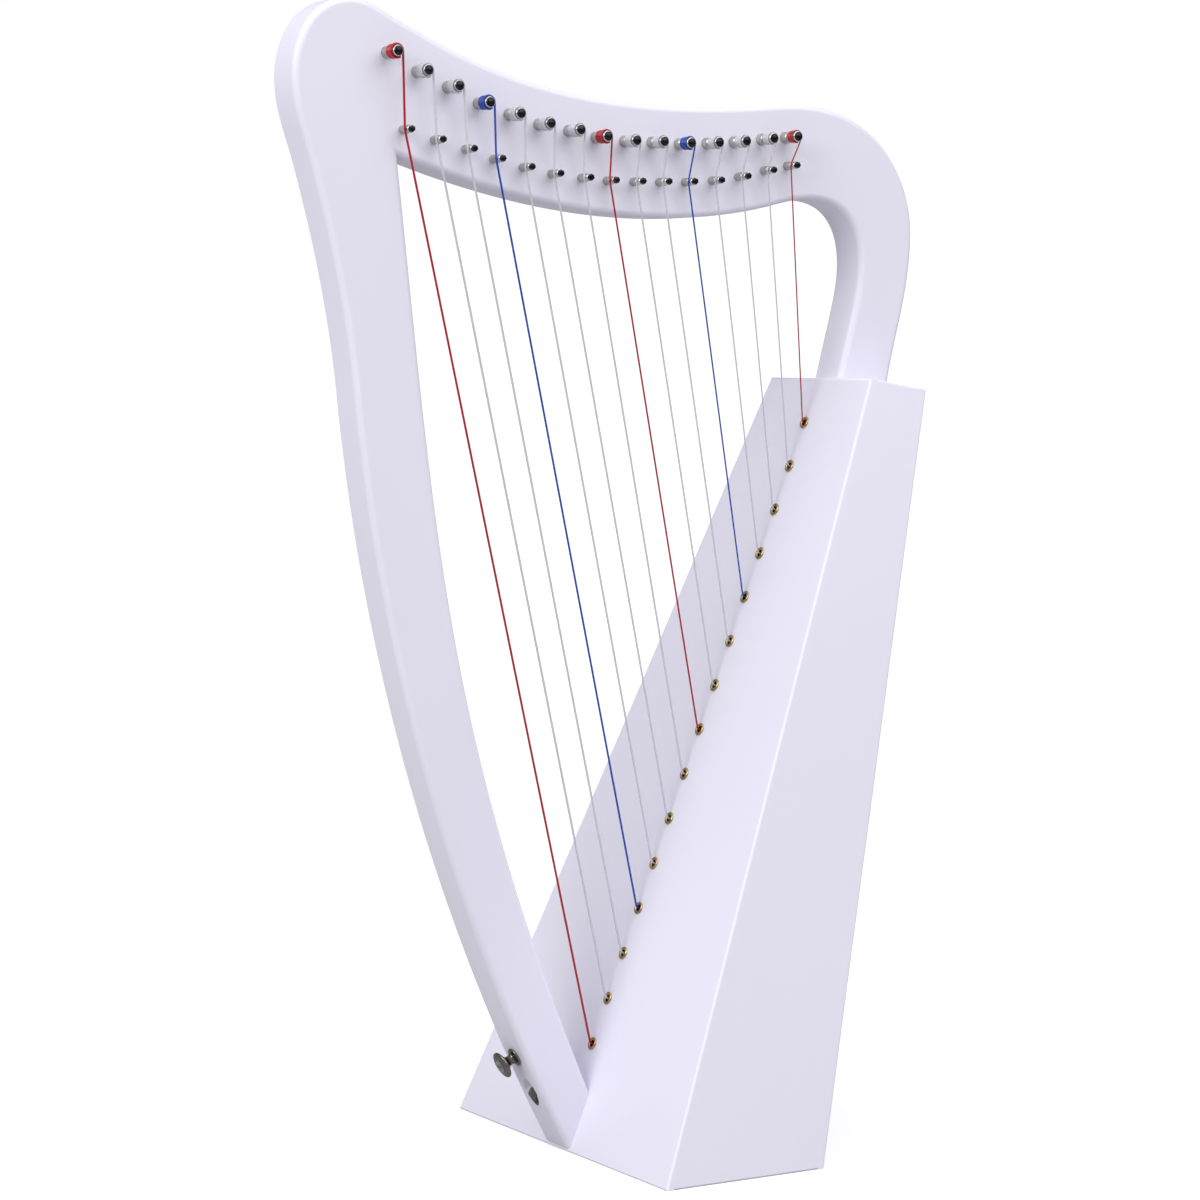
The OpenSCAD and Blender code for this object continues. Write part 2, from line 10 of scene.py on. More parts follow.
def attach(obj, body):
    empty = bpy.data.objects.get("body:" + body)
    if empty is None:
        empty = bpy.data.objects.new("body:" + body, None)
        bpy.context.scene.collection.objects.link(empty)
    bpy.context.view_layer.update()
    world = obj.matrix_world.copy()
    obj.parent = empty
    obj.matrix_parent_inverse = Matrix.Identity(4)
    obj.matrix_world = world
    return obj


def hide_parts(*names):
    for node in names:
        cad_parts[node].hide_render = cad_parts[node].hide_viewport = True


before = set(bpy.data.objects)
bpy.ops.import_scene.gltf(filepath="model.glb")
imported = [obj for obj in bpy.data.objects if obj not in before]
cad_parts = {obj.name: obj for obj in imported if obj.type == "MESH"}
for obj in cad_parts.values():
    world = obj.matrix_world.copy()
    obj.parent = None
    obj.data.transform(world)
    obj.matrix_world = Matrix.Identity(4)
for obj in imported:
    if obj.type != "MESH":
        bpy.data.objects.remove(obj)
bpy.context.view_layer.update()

MM = 0.001
HARP = "harp"
scene = bpy.context.scene
scene.view_settings.view_transform = "Standard"

# ---------------------------------------------------------------- camera

camera_data = bpy.data.cameras.new("studio_camera")
camera_data.sensor_width = 36.0
camera_data.lens = 103.44
camera = bpy.data.objects.new("studio_camera", camera_data)
camera.location = (-0.93055, -1.5419, 0.4169)
camera.rotation_euler = (math.radians(90.0 - 4.18), 0.0, math.radians(-30.53))
scene.collection.objects.link(camera)
scene.camera = camera

# ---------------------------------------------------------------- sizes, in millimetres

STRINGS = 15
HALF_THICKNESS = 12.5
FRAME_ROUND = 3.3
JOINT_Z = 511.9
BASE_FRONT = -47.25

# side-view curves of the frame, measured from the bottom edge of the soundboard
PILLAR_FRONT_HIGH = [(-145.3, 512), (-132.3, 468), (-123.1, 425), (-119.6, 381)]
PILLAR_FRONT_LOW = [(-119.6, 381), (-117, 370), (-104.7, 193.4), (1.8, -2)]
PILLAR_INSIDE = [(-95.2, 497), (-75.5, 320.3), (-69.5, 218.8), (14, 28)]
HEAD_LEFT = [(-145.3, 512), (-150.3, 527.5), (-154, 535), (-154, 550)]
HEAD_TOP = [(-154, 550), (-154, 563), (-147, 588.8), (-121.5, 588.8)]
HEAD_RIGHT = [(-121.5, 588.8), (-112, 588.8), (-104, 582), (-93, 577.3)]
NECK_TOP = [(-93, 577.3), (-56.1, 559.6), (10.2, 527.7), (157.7, 548.6)]
SHOULDER_HIGH = [(127.9, 545), (199.5, 551.4), (215.2, 500.3), (215.2, 480)]
SHOULDER_LOW = [(215.2, 480), (215.2, 446), (204, 424), (199, 392)]
ELBOW_INSIDE = [(165.5, 392), (173, 425), (181.3, 446), (181.3, 462)]
ELBOW_CORNER = [(181.3, 462), (181.3, 507), (137, 495), (130, 493)]
NECK_UNDER = [(130, 493), (27.7, 467.1), (-75.8, 505.9), (-96.9, 512)]

# planes of the soundbox
FRONT_TOP = (163.5 + BASE_FRONT, 401.0)
BACK_TOP = (199.0 + BASE_FRONT, 394.8)
BACK_BASE = -BASE_FRONT
FRONT_LEAN = math.atan2(FRONT_TOP[0] - BASE_FRONT, FRONT_TOP[1])
BACK_LEAN = math.atan2(BACK_TOP[0] - BACK_BASE, BACK_TOP[1])
ROOF_SLOPE = (FRONT_TOP[1] - BACK_TOP[1]) / (BACK_TOP[0] - FRONT_TOP[0])
ROOF_TILT = math.atan(ROOF_SLOPE)
BASE_WIDTH = 218.0
TOP_WIDTH = 95.5
SIDE_SLOPE = (BASE_WIDTH - TOP_WIDTH) / 2 / FRONT_TOP[1]
BOARD = 4.0
SIDE = 7.0
BACK = 4.0
TOP_BLOCK = 14.0

# pins, measured outwards from the string side of the neck
SEAT_RADIUS = 2.52
SEAT_START = 5.04
COLLAR_START = 11.76
PIN_REACH = 14.0
KEY_REACH = 13.0
KEY_SQUARE = 4.14
GROOVE_RADIUS = 1.584
GROOVE_HEIGHT = 7.18
DOME_RADIUS = 2.36
STRING_GAP = 0.3
EYELET_BORE = 1.7
KNOT_RADIUS = 2.2

# bolt hole and strap button, as places along the lower front of the pillar
BOLT_PLACE = 0.944
STRAP_PLACE = 0.909
STRAP_SLOPE_STEP = 0.01
BOLT_RADIUS = 3.25
BOLT_HEAD_RADIUS = 5.03
BOLT_HEAD_DEPTH = 12.0
BOLT_LIP_START = 1.2
BOLT_LIP = 0.9
STRAP_SCREW_RADIUS = 1.77
STRAP_HEAD_RADIUS = 7.25

# rounded edges of the soundbox's front and back
BOX_ROUNDS = {"left": 1.4, "right": 1.4, "high": 1.6, "low": 1.0}

# round-over of the sound holes
HOLE_LIP = 1.3

# studio: glow and bounce of the paper, colours of the sky, lamps
PAPER_LIFT = 0.3
PAPER_BOUNCE = 0.42
SKY_LOW = (0.42, 0.42, 0.44, 1.0)
SKY_HIGH = (1.0, 1.0, 1.0, 1.0)
SKY_STRENGTH = 0.6
LAMP_AIM = (0.0, 0.0, 0.3)
# name, place in metres, size in metres, power in watts
LAMPS = (
    ("window_light", (-2.1, -0.6, 1.55), (1.5, 1.5), 34.0),
    ("front_light", (0.5, -1.4, 1.8), (2.2, 2.2), 24.5),
    ("top_light", (0.3, 0.2, 3.0), (2.0, 2.0), 8.0),
)


def bezier(p, t):
    s = 1.0 - t
    return tuple(
        s ** 3 * p[0][k] + 3 * s * s * t * p[1][k] + 3 * s * t * t * p[2][k] + t ** 3 * p[3][k]
        for k in (0, 1)
    )


def along(p, t):
    x, z = bezier(p, t)
    return (x + BASE_FRONT, z)


def stretch(p, start=0.0, end=1.0, steps=60):
    return [along(p, start + (end - start) * k / steps) for k in range(steps + 1)]


def front_x(z, depth):
    return BASE_FRONT + z * math.tan(FRONT_LEAN) + depth / math.cos(FRONT_LEAN)


def back_x(z, depth):
    return BACK_BASE + z * math.tan(BACK_LEAN) - depth / math.cos(BACK_LEAN)


def roof_z(x, depth):
    return FRONT_TOP[1] - (x - FRONT_TOP[0]) * ROOF_SLOPE - depth / math.cos(ROOF_TILT)


def roof_over(plane, depth, under):
    lean = FRONT_LEAN if plane is front_x else BACK_LEAN
    return roof_z(plane(0.0, depth), under) / (1.0 + math.tan(lean) * ROOF_SLOPE)


def half_width(z, inset):
    return BASE_WIDTH / 2 - z * SIDE_SLOPE - inset / math.cos(math.atan(SIDE_SLOPE))


def string_radius(i):
    return (1.2 - 0.5 * i / 14) / 2


TUNING_SHIFT_X = (-1.4, -1.5, -1.1, -0.6, 0.2, 0.6, 1.2, 0.4, 0.6, 0.3, 0.0, 0.2, 0.1, 0.4, -1.3)
TUNING_SHIFT_Z = (
    -0.3, -0.5, 0.0, -1.2, -0.9, -1.0, -0.4, -0.9, -0.9, -0.2, -0.3, 0.2, 0.4, 0.7, -0.2
)
BRIDGE_SHIFT_X = (0.5, 1.7, 2.9, 2.7, 3.1, 3.4, 4.7, 3.4, 3.0, 2.3, 1.6, 1.7, 1.7, 1.4, -0.3)
BRIDGE_SHIFT_Z = (
    0.0, 0.5, 0.8, 0.1, -0.5, -0.9, -0.7, -0.6, -0.2, -0.1, -0.5, -0.8, -0.4, 0.5, 0.0
)


def tuning_place(i):
    z = 522.6 + (0.2 * (10 - i) ** 2.3 if i < 10 else 0.33 * (i - 10) ** 2)
    return (BASE_FRONT - 102 + 16.8 * i + TUNING_SHIFT_X[i], z + TUNING_SHIFT_Z[i])


def bridge_place(i):
    z = 502.4 + 0.322 * (i - 8.3) ** 2
    return (BASE_FRONT - 95.4 + 16.34 * i + BRIDGE_SHIFT_X[i], z + BRIDGE_SHIFT_Z[i])


def eyelet_place(i):
    run = 57 + 25 * i
    return (BASE_FRONT + run * math.sin(FRONT_LEAN), run * math.cos(FRONT_LEAN))


def string_slot(i):
    if i % 7 == 0:
        return "string_red"
    return "string_blue" if i in (3, 10) else "string_clear"


# out of the soundboard's face, and out of the back's face
BOARD_OUT = Vector((-math.cos(FRONT_LEAN), 0.0, math.sin(FRONT_LEAN)))
BOARD_TURN = Matrix.Rotation(FRONT_LEAN - math.pi / 2, 4, "Y")
BACK_TURN = Matrix.Rotation(math.pi / 2 + BACK_LEAN, 4, "Y")
NECK_TURN = Matrix.Rotation(math.pi / 2, 4, "X")

# ---------------------------------------------------------------- materials


def socket_group(name, inputs, outputs):
    """An empty shader group with the inputs given and one number out for each output."""
    tree = bpy.data.node_groups.new(name, "ShaderNodeTree")
    for label, kind, value in inputs:
        made = tree.interface.new_socket(label, in_out="INPUT", socket_type=kind)
        if value is not None:
            made.default_value = value
    for label in outputs:
        tree.interface.new_socket(label, in_out="OUTPUT", socket_type="NodeSocketFloat")
    return tree, tree.nodes.new("NodeGroupInput"), tree.nodes.new("NodeGroupOutput")


def noise_node(tree, vector, scale, detail=3.0, rough=0.5):
    node = tree.nodes.new("ShaderNodeTexNoise")
    node.inputs["Detail"].default_value = detail
    node.inputs["Roughness"].default_value = rough
    if isinstance(scale, (int, float)):
        node.inputs["Scale"].default_value = scale
    else:
        tree.links.new(scale, node.inputs["Scale"])
    if vector is not None:
        tree.links.new(vector, node.inputs["Vector"])
    return node


def range_node(tree, value, low, high, from_low=0.0, from_high=1.0):
    node = tree.nodes.new("ShaderNodeMapRange")
    tree.links.new(value, node.inputs["Value"])
    ends = {"From Min": from_low, "From Max": from_high, "To Min": low, "To Max": high}
    for label, given in ends.items():
        if isinstance(given, (int, float)):
            node.inputs[label].default_value = given
        else:
            tree.links.new(given, node.inputs[label])
    return node.outputs["Result"]


def mix_colour(tree, factor, first, second):
    node = tree.nodes.new("ShaderNodeMix")
    node.data_type = "RGBA"
    tree.links.new(factor, node.inputs[0])
    for socket, given in ((node.inputs[6], first), (node.inputs[7], second)):
        if isinstance(given, tuple):
            socket.default_value = given
        else:
            tree.links.new(given, socket)
    return node.outputs[2]


def make_sprayed_surface():
    """Sprayed lacquer: broad drift of tone, cloudy gloss and fine orange peel."""
    tree, given, out = socket_group(
        "sprayed_surface",
        [
            ("Place", "NodeSocketVector", None),
            ("Peel Scale", "NodeSocketFloat", 420.0),
            ("Smooth", "NodeSocketFloat", 0.3),
            ("Dull", "NodeSocketFloat", 0.36),
        ],
        ("Tone", "Roughness", "Height"),
    )
    place = given.outputs["Place"]
    drift = noise_node(tree, place, 6.0, 2.0)
    haze = noise_node(tree, place, 34.0, 4.0, 0.6)
    peel = noise_node(tree, place, given.outputs["Peel Scale"], 2.0)
    tree.links.new(drift.outputs["Fac"], out.inputs["Tone"])
    rough = range_node(
        tree, haze.outputs["Fac"], given.outputs["Smooth"], given.outputs["Dull"], 0.1, 0.9
    )
    tree.links.new(rough, out.inputs["Roughness"])
    tree.links.new(peel.outputs["Fac"], out.inputs["Height"])
    return tree


def make_turned_metal():
    """Worn plated metal: fine handling scratches in random patches and a cloudy roughness."""
    tree, given, out = socket_group(
        "plated_metal",
        [
            ("Place", "NodeSocketVector", None),
            ("Scratch Scale", "NodeSocketFloat", 900.0),
            ("Polished", "NodeSocketFloat", 0.1),
            ("Worn", "NodeSocketFloat", 0.32),
        ],
        ("Wear", "Roughness", "Height"),
    )
    place = given.outputs["Place"]
    stretch_node = tree.nodes.new("ShaderNodeMapping")
    stretch_node.inputs["Scale"].default_value = (1.0, 0.12, 1.0)
    tree.links.new(place, stretch_node.inputs["Vector"])
    scratches = noise_node(
        tree, stretch_node.outputs["Vector"], given.outputs["Scratch Scale"], 4.0, 0.7
    )
    clouds = noise_node(tree, place, 260.0, 3.0)
    wear = range_node(tree, clouds.outputs["Fac"], 0.0, 1.0, 0.38, 0.66)
    tree.links.new(wear, out.inputs["Wear"])
    rough = range_node(
        tree, scratches.outputs["Fac"], given.outputs["Polished"], given.outputs["Worn"], 0.35, 0.7
    )
    tree.links.new(rough, out.inputs["Roughness"])
    tree.links.new(scratches.outputs["Fac"], out.inputs["Height"])
    return tree


def make_sawn_grain():
    """Bare wood: long growth lines along one direction with short pores between them."""
    tree, given, out = socket_group(
        "sawn_grain",
        [
            ("Place", "NodeSocketVector", None),
            ("Line Scale", "NodeSocketFloat", 130.0),
            ("Pore Scale", "NodeSocketFloat", 900.0),
        ],
        ("Grain", "Roughness", "Height"),
    )
    place = given.outputs["Place"]
    warp = noise_node(tree, place, 9.0, 2.0)
    lines = tree.nodes.new("ShaderNodeTexWave")
    lines.wave_type = "BANDS"
    lines.bands_direction = "X"
    lines.inputs["Distortion"].default_value = 2.6
    lines.inputs["Detail"].default_value = 3.0
    tree.links.new(given.outputs["Line Scale"], lines.inputs["Scale"])
    tree.links.new(place, lines.inputs["Vector"])
    squeeze = tree.nodes.new("ShaderNodeMapping")
    squeeze.inputs["Scale"].default_value = (1.0, 1.0, 0.05)
    tree.links.new(place, squeeze.inputs["Vector"])
    pores = noise_node(tree, squeeze.outputs["Vector"], given.outputs["Pore Scale"], 2.0)
    both = tree.nodes.new("ShaderNodeMath")
    both.operation = "MULTIPLY_ADD"
    both.inputs[1].default_value = 0.6
    tree.links.new(lines.outputs["Fac"], both.inputs[0])
    tree.links.new(warp.outputs["Fac"], both.inputs[2])
    tree.links.new(both.outputs["Value"], out.inputs["Grain"])
    rough = range_node(tree, pores.outputs["Fac"], 0.5, 0.8, 0.3, 0.7)
    tree.links.new(rough, out.inputs["Roughness"])
    tree.links.new(pores.outputs["Fac"], out.inputs["Height"])
    return tree


SPRAYED = make_sprayed_surface()
PLATED = make_turned_metal()
SAWN = make_sawn_grain()


def start_material(name, group, settings, shift=(0.0, 0.0, 0.0), turn=(0.0, 0.0, 0.0)):
    """A material with object coordinates, one shared effect, a bump and a Principled shader."""
    material = bpy.data.materials.new(name)
    material.use_nodes = True
    tree = material.node_tree
    shader = tree.nodes["Principled BSDF"]
    where = tree.nodes.new("ShaderNodeTexCoord")
    mapping = tree.nodes.new("ShaderNodeMapping")
    mapping.inputs["Location"].default_value = shift
    mapping.inputs["Rotation"].default_value = turn
    tree.links.new(where.outputs["Object"], mapping.inputs["Vector"])
    effect = tree.nodes.new("ShaderNodeGroup")
    effect.node_tree = group
    tree.links.new(mapping.outputs["Vector"], effect.inputs["Place"])
    for label, value in settings.items():
        effect.inputs[label].default_value = value
    bump = tree.nodes.new("ShaderNodeBump")
    tree.links.new(effect.outputs["Height"], bump.inputs["Height"])
    tree.links.new(bump.outputs["Normal"], shader.inputs["Normal"])
    tree.links.new(effect.outputs["Roughness"], shader.inputs["Roughness"])
    return material, tree, shader, effect, bump


def lacquer(name, light, shade, shift=(0.0, 0.0, 0.0)):
    material, tree, shader, effect, bump = start_material(name, SPRAYED, {}, shift)
    tone = range_node(tree, effect.outputs["Tone"], 0.0, 1.0, 0.3, 0.7)
    colour = mix_colour(tree, tone, shade, light)
    tree.links.new(colour, shader.inputs["Base Color"])
    bump.inputs["Strength"].default_value = 0.05
    bump.inputs["Distance"].default_value = 0.0003
    shader.inputs["Coat Weight"].default_value = 0.06
    shader.inputs["Coat Roughness"].default_value = 0.22
    shader.inputs["Specular IOR Level"].default_value = 0.2
    return material


def metal(name, bright, dull, polished, worn, scratch=900.0, bump_strength=0.12):
    settings = {"Scratch Scale": scratch, "Polished": polished, "Worn": worn}
    material, tree, shader, effect, bump = start_material(name, PLATED, settings)
    colour = mix_colour(tree, effect.outputs["Wear"], bright, dull)
    tree.links.new(colour, shader.inputs["Base Color"])
    shader.inputs["Metallic"].default_value = 1.0
    bump.inputs["Strength"].default_value = bump_strength
    bump.inputs["Distance"].default_value = 0.00005
    return material


def wood(name, early, late, turn=(0.0, 0.0, 0.0), line_scale=130.0):
    material, tree, shader, effect, bump = start_material(
        name, SAWN, {"Line Scale": line_scale}, turn=turn
    )
    tone = range_node(tree, effect.outputs["Grain"], 0.0, 1.0, 0.3, 1.1)
    colour = mix_colour(tree, tone, early, late)
    tree.links.new(colour, shader.inputs["Base Color"])
    bump.inputs["Strength"].default_value = 0.3
    bump.inputs["Distance"].default_value = 0.0002
    return material


def string_finish(name, light, deep, polished, dull, see_through=0.0):
    settings = {"Peel Scale": 2600.0, "Smooth": polished, "Dull": dull}
    material, tree, shader, effect, bump = start_material(name, SPRAYED, settings)
    tone = range_node(tree, effect.outputs["Height"], 0.0, 1.0, 0.35, 0.65)
    colour = mix_colour(tree, tone, deep, light)
    tree.links.new(colour, shader.inputs["Base Color"])
    shader.inputs["Transmission Weight"].default_value = see_through
    shader.inputs["IOR"].default_value = 1.53
    bump.inputs["Strength"].default_value = 0.1
    bump.inputs["Distance"].default_value = 0.00003
    return material


LACQUER = lacquer("white_lacquer", (0.84, 0.822, 0.945, 1.0), (0.82, 0.802, 0.925, 1.0))
LACQUER_BOX = lacquer(
    "white_lacquer_box", (0.84, 0.822, 0.945, 1.0), (0.82, 0.802, 0.925, 1.0), (0.31, 0.17, 0.05)
)
BARE_WOOD = wood("bare_wood", (0.72, 0.55, 0.36, 1.0), (0.5, 0.33, 0.18, 1.0))
BARE_WOOD_ACROSS = wood(
    "bare_wood_across", (0.7, 0.52, 0.33, 1.0), (0.47, 0.3, 0.16, 1.0),
    (math.pi / 2, 0.0, 0.0), 90.0,
)
SATIN_NICKEL = metal("satin_nickel", (0.56, 0.55, 0.51, 1.0), (0.42, 0.41, 0.375, 1.0), 0.3, 0.46)
CHROME = metal("polished_chrome", (0.74, 0.74, 0.75, 1.0), (0.54, 0.54, 0.55, 1.0), 0.05, 0.14)
# painted reflection: the button's chrome is coloured dark to stand in for dark surroundings
# mirrored in it
BUTTON_PAINTED_REFLECTION = metal(
    "button_chrome", (0.24, 0.215, 0.205, 1.0), (0.13, 0.115, 0.11, 1.0), 0.03, 0.1, 900.0, 0.05
)
# painted reflection: pin ends are coloured near black to stand in for the dark room mirrored in
# their polished ends
PIN_END_PAINTED_REFLECTION = metal("dark_pin_end", (0.022, 0.022, 0.024, 1.0), (0.045, 0.045, 0.05, 1.0), 0.08, 0.2)
# painted shade: the counterbore walls get a dark grey-brown, with grain, to stand in for the shade
# inside the hole
BORE_PAINTED_SHADE = wood("shaded_bore", (0.34, 0.31, 0.3, 1.0), (0.24, 0.215, 0.21, 1.0))
STEEL = metal("bolt_steel", (0.5, 0.5, 0.51, 1.0), (0.3, 0.3, 0.31, 1.0), 0.2, 0.42, 500.0)
BRASS = metal("polished_brass", (0.6, 0.47, 0.24, 1.0), (0.4, 0.29, 0.13, 1.0), 0.08, 0.22)
RED = string_finish("string_red", (0.45, 0.005, 0.02, 1.0), (0.34, 0.004, 0.015, 1.0), 0.2, 0.3)
BLUE = string_finish("string_blue", (0.007, 0.07, 0.42, 1.0), (0.005, 0.05, 0.33, 1.0), 0.2, 0.3)
CLEAR = string_finish(
    "string_clear", (0.8, 0.8, 0.87, 1.0), (0.72, 0.72, 0.79, 1.0), 0.16, 0.24, 0.3
)
STRING_LOOKS = {"string_red": RED, "string_blue": BLUE, "string_clear": CLEAR}

# ---------------------------------------------------------------- mesh helpers


def link_mesh(name, points, faces, materials=()):
    mesh = bpy.data.meshes.new(name)
    mesh.from_pydata([tuple(c * MM for c in p) for p in points], [], faces)
    for material in materials:
        mesh.materials.append(material)
    made = bpy.data.objects.new(name, mesh)
    scene.collection.objects.link(made)
    return made


def put_right(target):
    """Merges doubles, drops slivers and turns every face outwards."""
    work = bmesh.new()
    work.from_mesh(target.data)
    bmesh.ops.remove_doubles(work, verts=work.verts, dist=1e-6)
    bmesh.ops.dissolve_degenerate(work, edges=work.edges, dist=1e-7)
    bmesh.ops.recalc_face_normals(work, faces=work.faces)
    work.to_mesh(target.data)
    work.free()


def bake_modifiers(target):
    """The evaluated shape becomes the object's own plain mesh, and its modifiers go."""
    evaluated = target.evaluated_get(bpy.context.evaluated_depsgraph_get())
    plain = bpy.data.meshes.new_from_object(evaluated)
    old = target.data
    target.modifiers.clear()
    target.data = plain
    bpy.data.meshes.remove(old)
    plain.name = target.name


def cut(target, cutter, operation="DIFFERENCE"):
    step = target.modifiers.new("cut", "BOOLEAN")
    step.operation = operation
    step.solver = "EXACT"
    step.object = cutter
    bake_modifiers(target)
    bpy.data.objects.remove(cutter)


def join_meshes(name, objects):
    """Several closed shapes in one mesh."""
    work = bmesh.new()
    for part in objects:
        work.from_mesh(part.data)
        bpy.data.objects.remove(part)
    mesh = bpy.data.meshes.new(name)
    work.to_mesh(mesh)
    work.free()
    made = bpy.data.objects.new(name, mesh)
    scene.collection.objects.link(made)
    return made


def polish(target, sharp=38.0):
    """Smooth faces with crisp corners, shaded by the larger faces."""
    target.data.polygons.foreach_set("use_smooth", [True] * len(target.data.polygons))
    target.data.set_sharp_from_angle(angle=math.radians(sharp))
    step = target.modifiers.new("weighted", "WEIGHTED_NORMAL")
    step.keep_sharp = True
    step.mode = "FACE_AREA"
    step.weight = 80
    bake_modifiers(target)


def prism(name, outline, half):
    """A side-view outline made into a block across Y."""
    count = len(outline)
    points = [(x, -half, z) for x, z in outline] + [(x, half, z) for x, z in outline]
    faces = [tuple(range(count)), tuple(range(2 * count - 1, count - 1, -1))]
    faces += [(k, k + count, (k + 1) % count + count, (k + 1) % count) for k in range(count)]
    made = link_mesh(name, points, faces)
    put_right(made)
    return made


def turned(name, profile, sides=48, place=Matrix.Identity(4), closed=False, finishes=None):
    """A shape turned on a lathe from (radius, height) pairs, about Z, then put in place."""
    points, faces, marks, rings = [], [], [], []
    for radius, height in profile:
        if radius < 1e-6:
            rings.append([len(points)])
            points.append((0.0, 0.0, height))
        else:
            rings.append(list(range(len(points), len(points) + sides)))
            for k in range(sides):
                a = 2 * math.pi * k / sides
                points.append((radius * math.cos(a), radius * math.sin(a), height))
    pairs = list(zip(range(len(rings) - 1), range(1, len(rings))))
    if closed:
        pairs.append((len(rings) - 1, 0))
    for a, b in pairs:
        low, high = rings[a], rings[b]
        for k in range(sides):
            n = (k + 1) % sides
            corners = [low[k % len(low)], low[n % len(low)]]
            corners += [high[n % len(high)], high[k % len(high)]]
            corners = list(dict.fromkeys(corners))
            if len(corners) > 2:
                faces.append(tuple(corners))
                marks.append(finishes[a] if finishes else 0)
    placed = [tuple(place @ Vector(p)) for p in points]
    made = link_mesh(name, placed, faces)
    if finishes:
        layer = made.data.attributes.new("finish", "INT", "FACE")
        layer.data.foreach_set("value", marks)
    put_right(made)
    return made


def set_materials(target, materials):
    target.data.materials.clear()
    for material in materials:
        target.data.materials.append(material)
    return target


def inner_faces_bare(target, inside, bare_index=1):
    """Faces that look into the soundbox stay unpainted."""
    for face in target.data.polygons:
        face.material_index = bare_index if inside(face) else 0


# ---------------------------------------------------------------- frame: pillar and neck


def even_run(points, spacing):
    """The same path with points a set distance apart, softened a little."""
    lengths = [0.0]
    for a, b in zip(points, points[1:]):
        lengths.append(lengths[-1] + math.dist(a, b))
    steps = max(2, round(lengths[-1] / spacing))
    out, k = [], 0
    for s in range(steps + 1):
        want = lengths[-1] * s / steps
        while k < len(lengths) - 2 and lengths[k + 1] < want:
            k += 1
        span = max(lengths[k + 1] - lengths[k], 1e-9)
        part = (want - lengths[k]) / span
        out.append(tuple(points[k][c] + (points[k + 1][c] - points[k][c]) * part for c in (0, 1)))
    for _ in range(2):
        out = [out[0]] + [
            tuple(0.25 * out[i - 1][c] + 0.5 * out[i][c] + 0.25 * out[i + 1][c] for c in (0, 1))
            for i in range(1, len(out) - 1)
        ] + [out[-1]]
    return out


def frame_outline():
    """One loop round the pillar, the neck and the elbow, run past the soundbox where it is cut."""
    foot_front = along(PILLAR_FRONT_LOW, 1.0)
    foot_inside = along(PILLAR_INSIDE, 1.0)
    elbow_back = along(SHOULDER_LOW, 1.0)
    elbow_front = along(ELBOW_INSIDE, 0.0)
    outside = stretch(PILLAR_FRONT_HIGH) + stretch(PILLAR_FRONT_LOW)[1:]
    outside.append((foot_front[0] + 12.0, foot_front[1] - 22.0))
    inside = [(foot_inside[0] + 8.0, foot_inside[1] - 18.3)]
    inside += stretch(PILLAR_INSIDE, 1.0, 0.0) + [along(NECK_UNDER, 1.0)]
    under = stretch(NECK_UNDER, 1.0, 0.0) + stretch(ELBOW_CORNER, 1.0, 0.0)[1:]
    under += stretch(ELBOW_INSIDE, 1.0, 0.0)[1:] + [(elbow_front[0] - 4.5, elbow_front[1] - 20.0)]
    over = [(elbow_back[0] - 3.1, elbow_back[1] - 20.0)]
    over += stretch(SHOULDER_LOW, 1.0, 0.0) + stretch(SHOULDER_HIGH, 1.0, 1.0 / 14.0)[1:]
    over += stretch(NECK_TOP, 0.93, 0.0) + stretch(HEAD_RIGHT, 1.0, 0.0)[1:]
    over += stretch(HEAD_TOP, 1.0, 0.0)[1:] + stretch(HEAD_LEFT, 1.0, 0.0)[1:]
    spacing = 4.0
    loop = even_run(over + outside[1:], spacing)
    loop += [(foot_front[0] + 60.0, foot_front[1] - 22.0)]
    loop += even_run(inside, spacing)[:-1]
    loop += even_run(under, spacing)
    return loop


def inward(loop):
    """Mitred inward directions of a loop that runs anticlockwise."""
    out = []
    count = len(loop)
    for k in range(count):
        before, here, after = loop[k - 1], loop[k], loop[(k + 1) % count]
        normals = []
        for a, b in ((before, here), (here, after)):
            dx, dz = b[0] - a[0], b[1] - a[1]
            size = math.hypot(dx, dz) or 1e-9
            normals.append((-dz / size, dx / size))
        dot = normals[0][0] * normals[1][0] + normals[0][1] * normals[1][1]
        scale = 1.0 / max(1.0 + dot, 0.3)
        out.append(tuple((normals[0][c] + normals[1][c]) * scale for c in (0, 1)))
    return out


def rounded_board(name, loop, half, radius, steps=6):
    """A thick board whose edges are rounded over on both faces."""
    turn_in = inward(loop)
    arc = [math.pi / 2 * k / steps for k in range(steps + 1)]
    rings = [(radius * (1 - math.sin(a)), -(half - radius + radius * math.cos(a))) for a in arc]
    rings += [(inset, -y) for inset, y in reversed(rings)]
    count = len(loop)
    points = []
    for inset, y in rings:
        points += [(p[0] + n[0] * inset, y, p[1] + n[1] * inset) for p, n in zip(loop, turn_in)]
    faces = [tuple(range(count)), tuple(range(len(points) - 1, len(points) - count - 1, -1))]
    for r in range(len(rings) - 1):
        for k in range(count):
            n = (k + 1) % count
            faces.append((r * count + k, (r + 1) * count + k, (r + 1) * count + n, r * count + n))
    made = link_mesh(name, points, faces)
    put_right(made)
    return made


def bolt_axis():
    """Where the foot bolt goes in, with Z along the bolt."""
    x, z = along(PILLAR_FRONT_LOW, BOLT_PLACE)
    return Matrix.Translation((x, 0.0, z)) @ BOARD_TURN


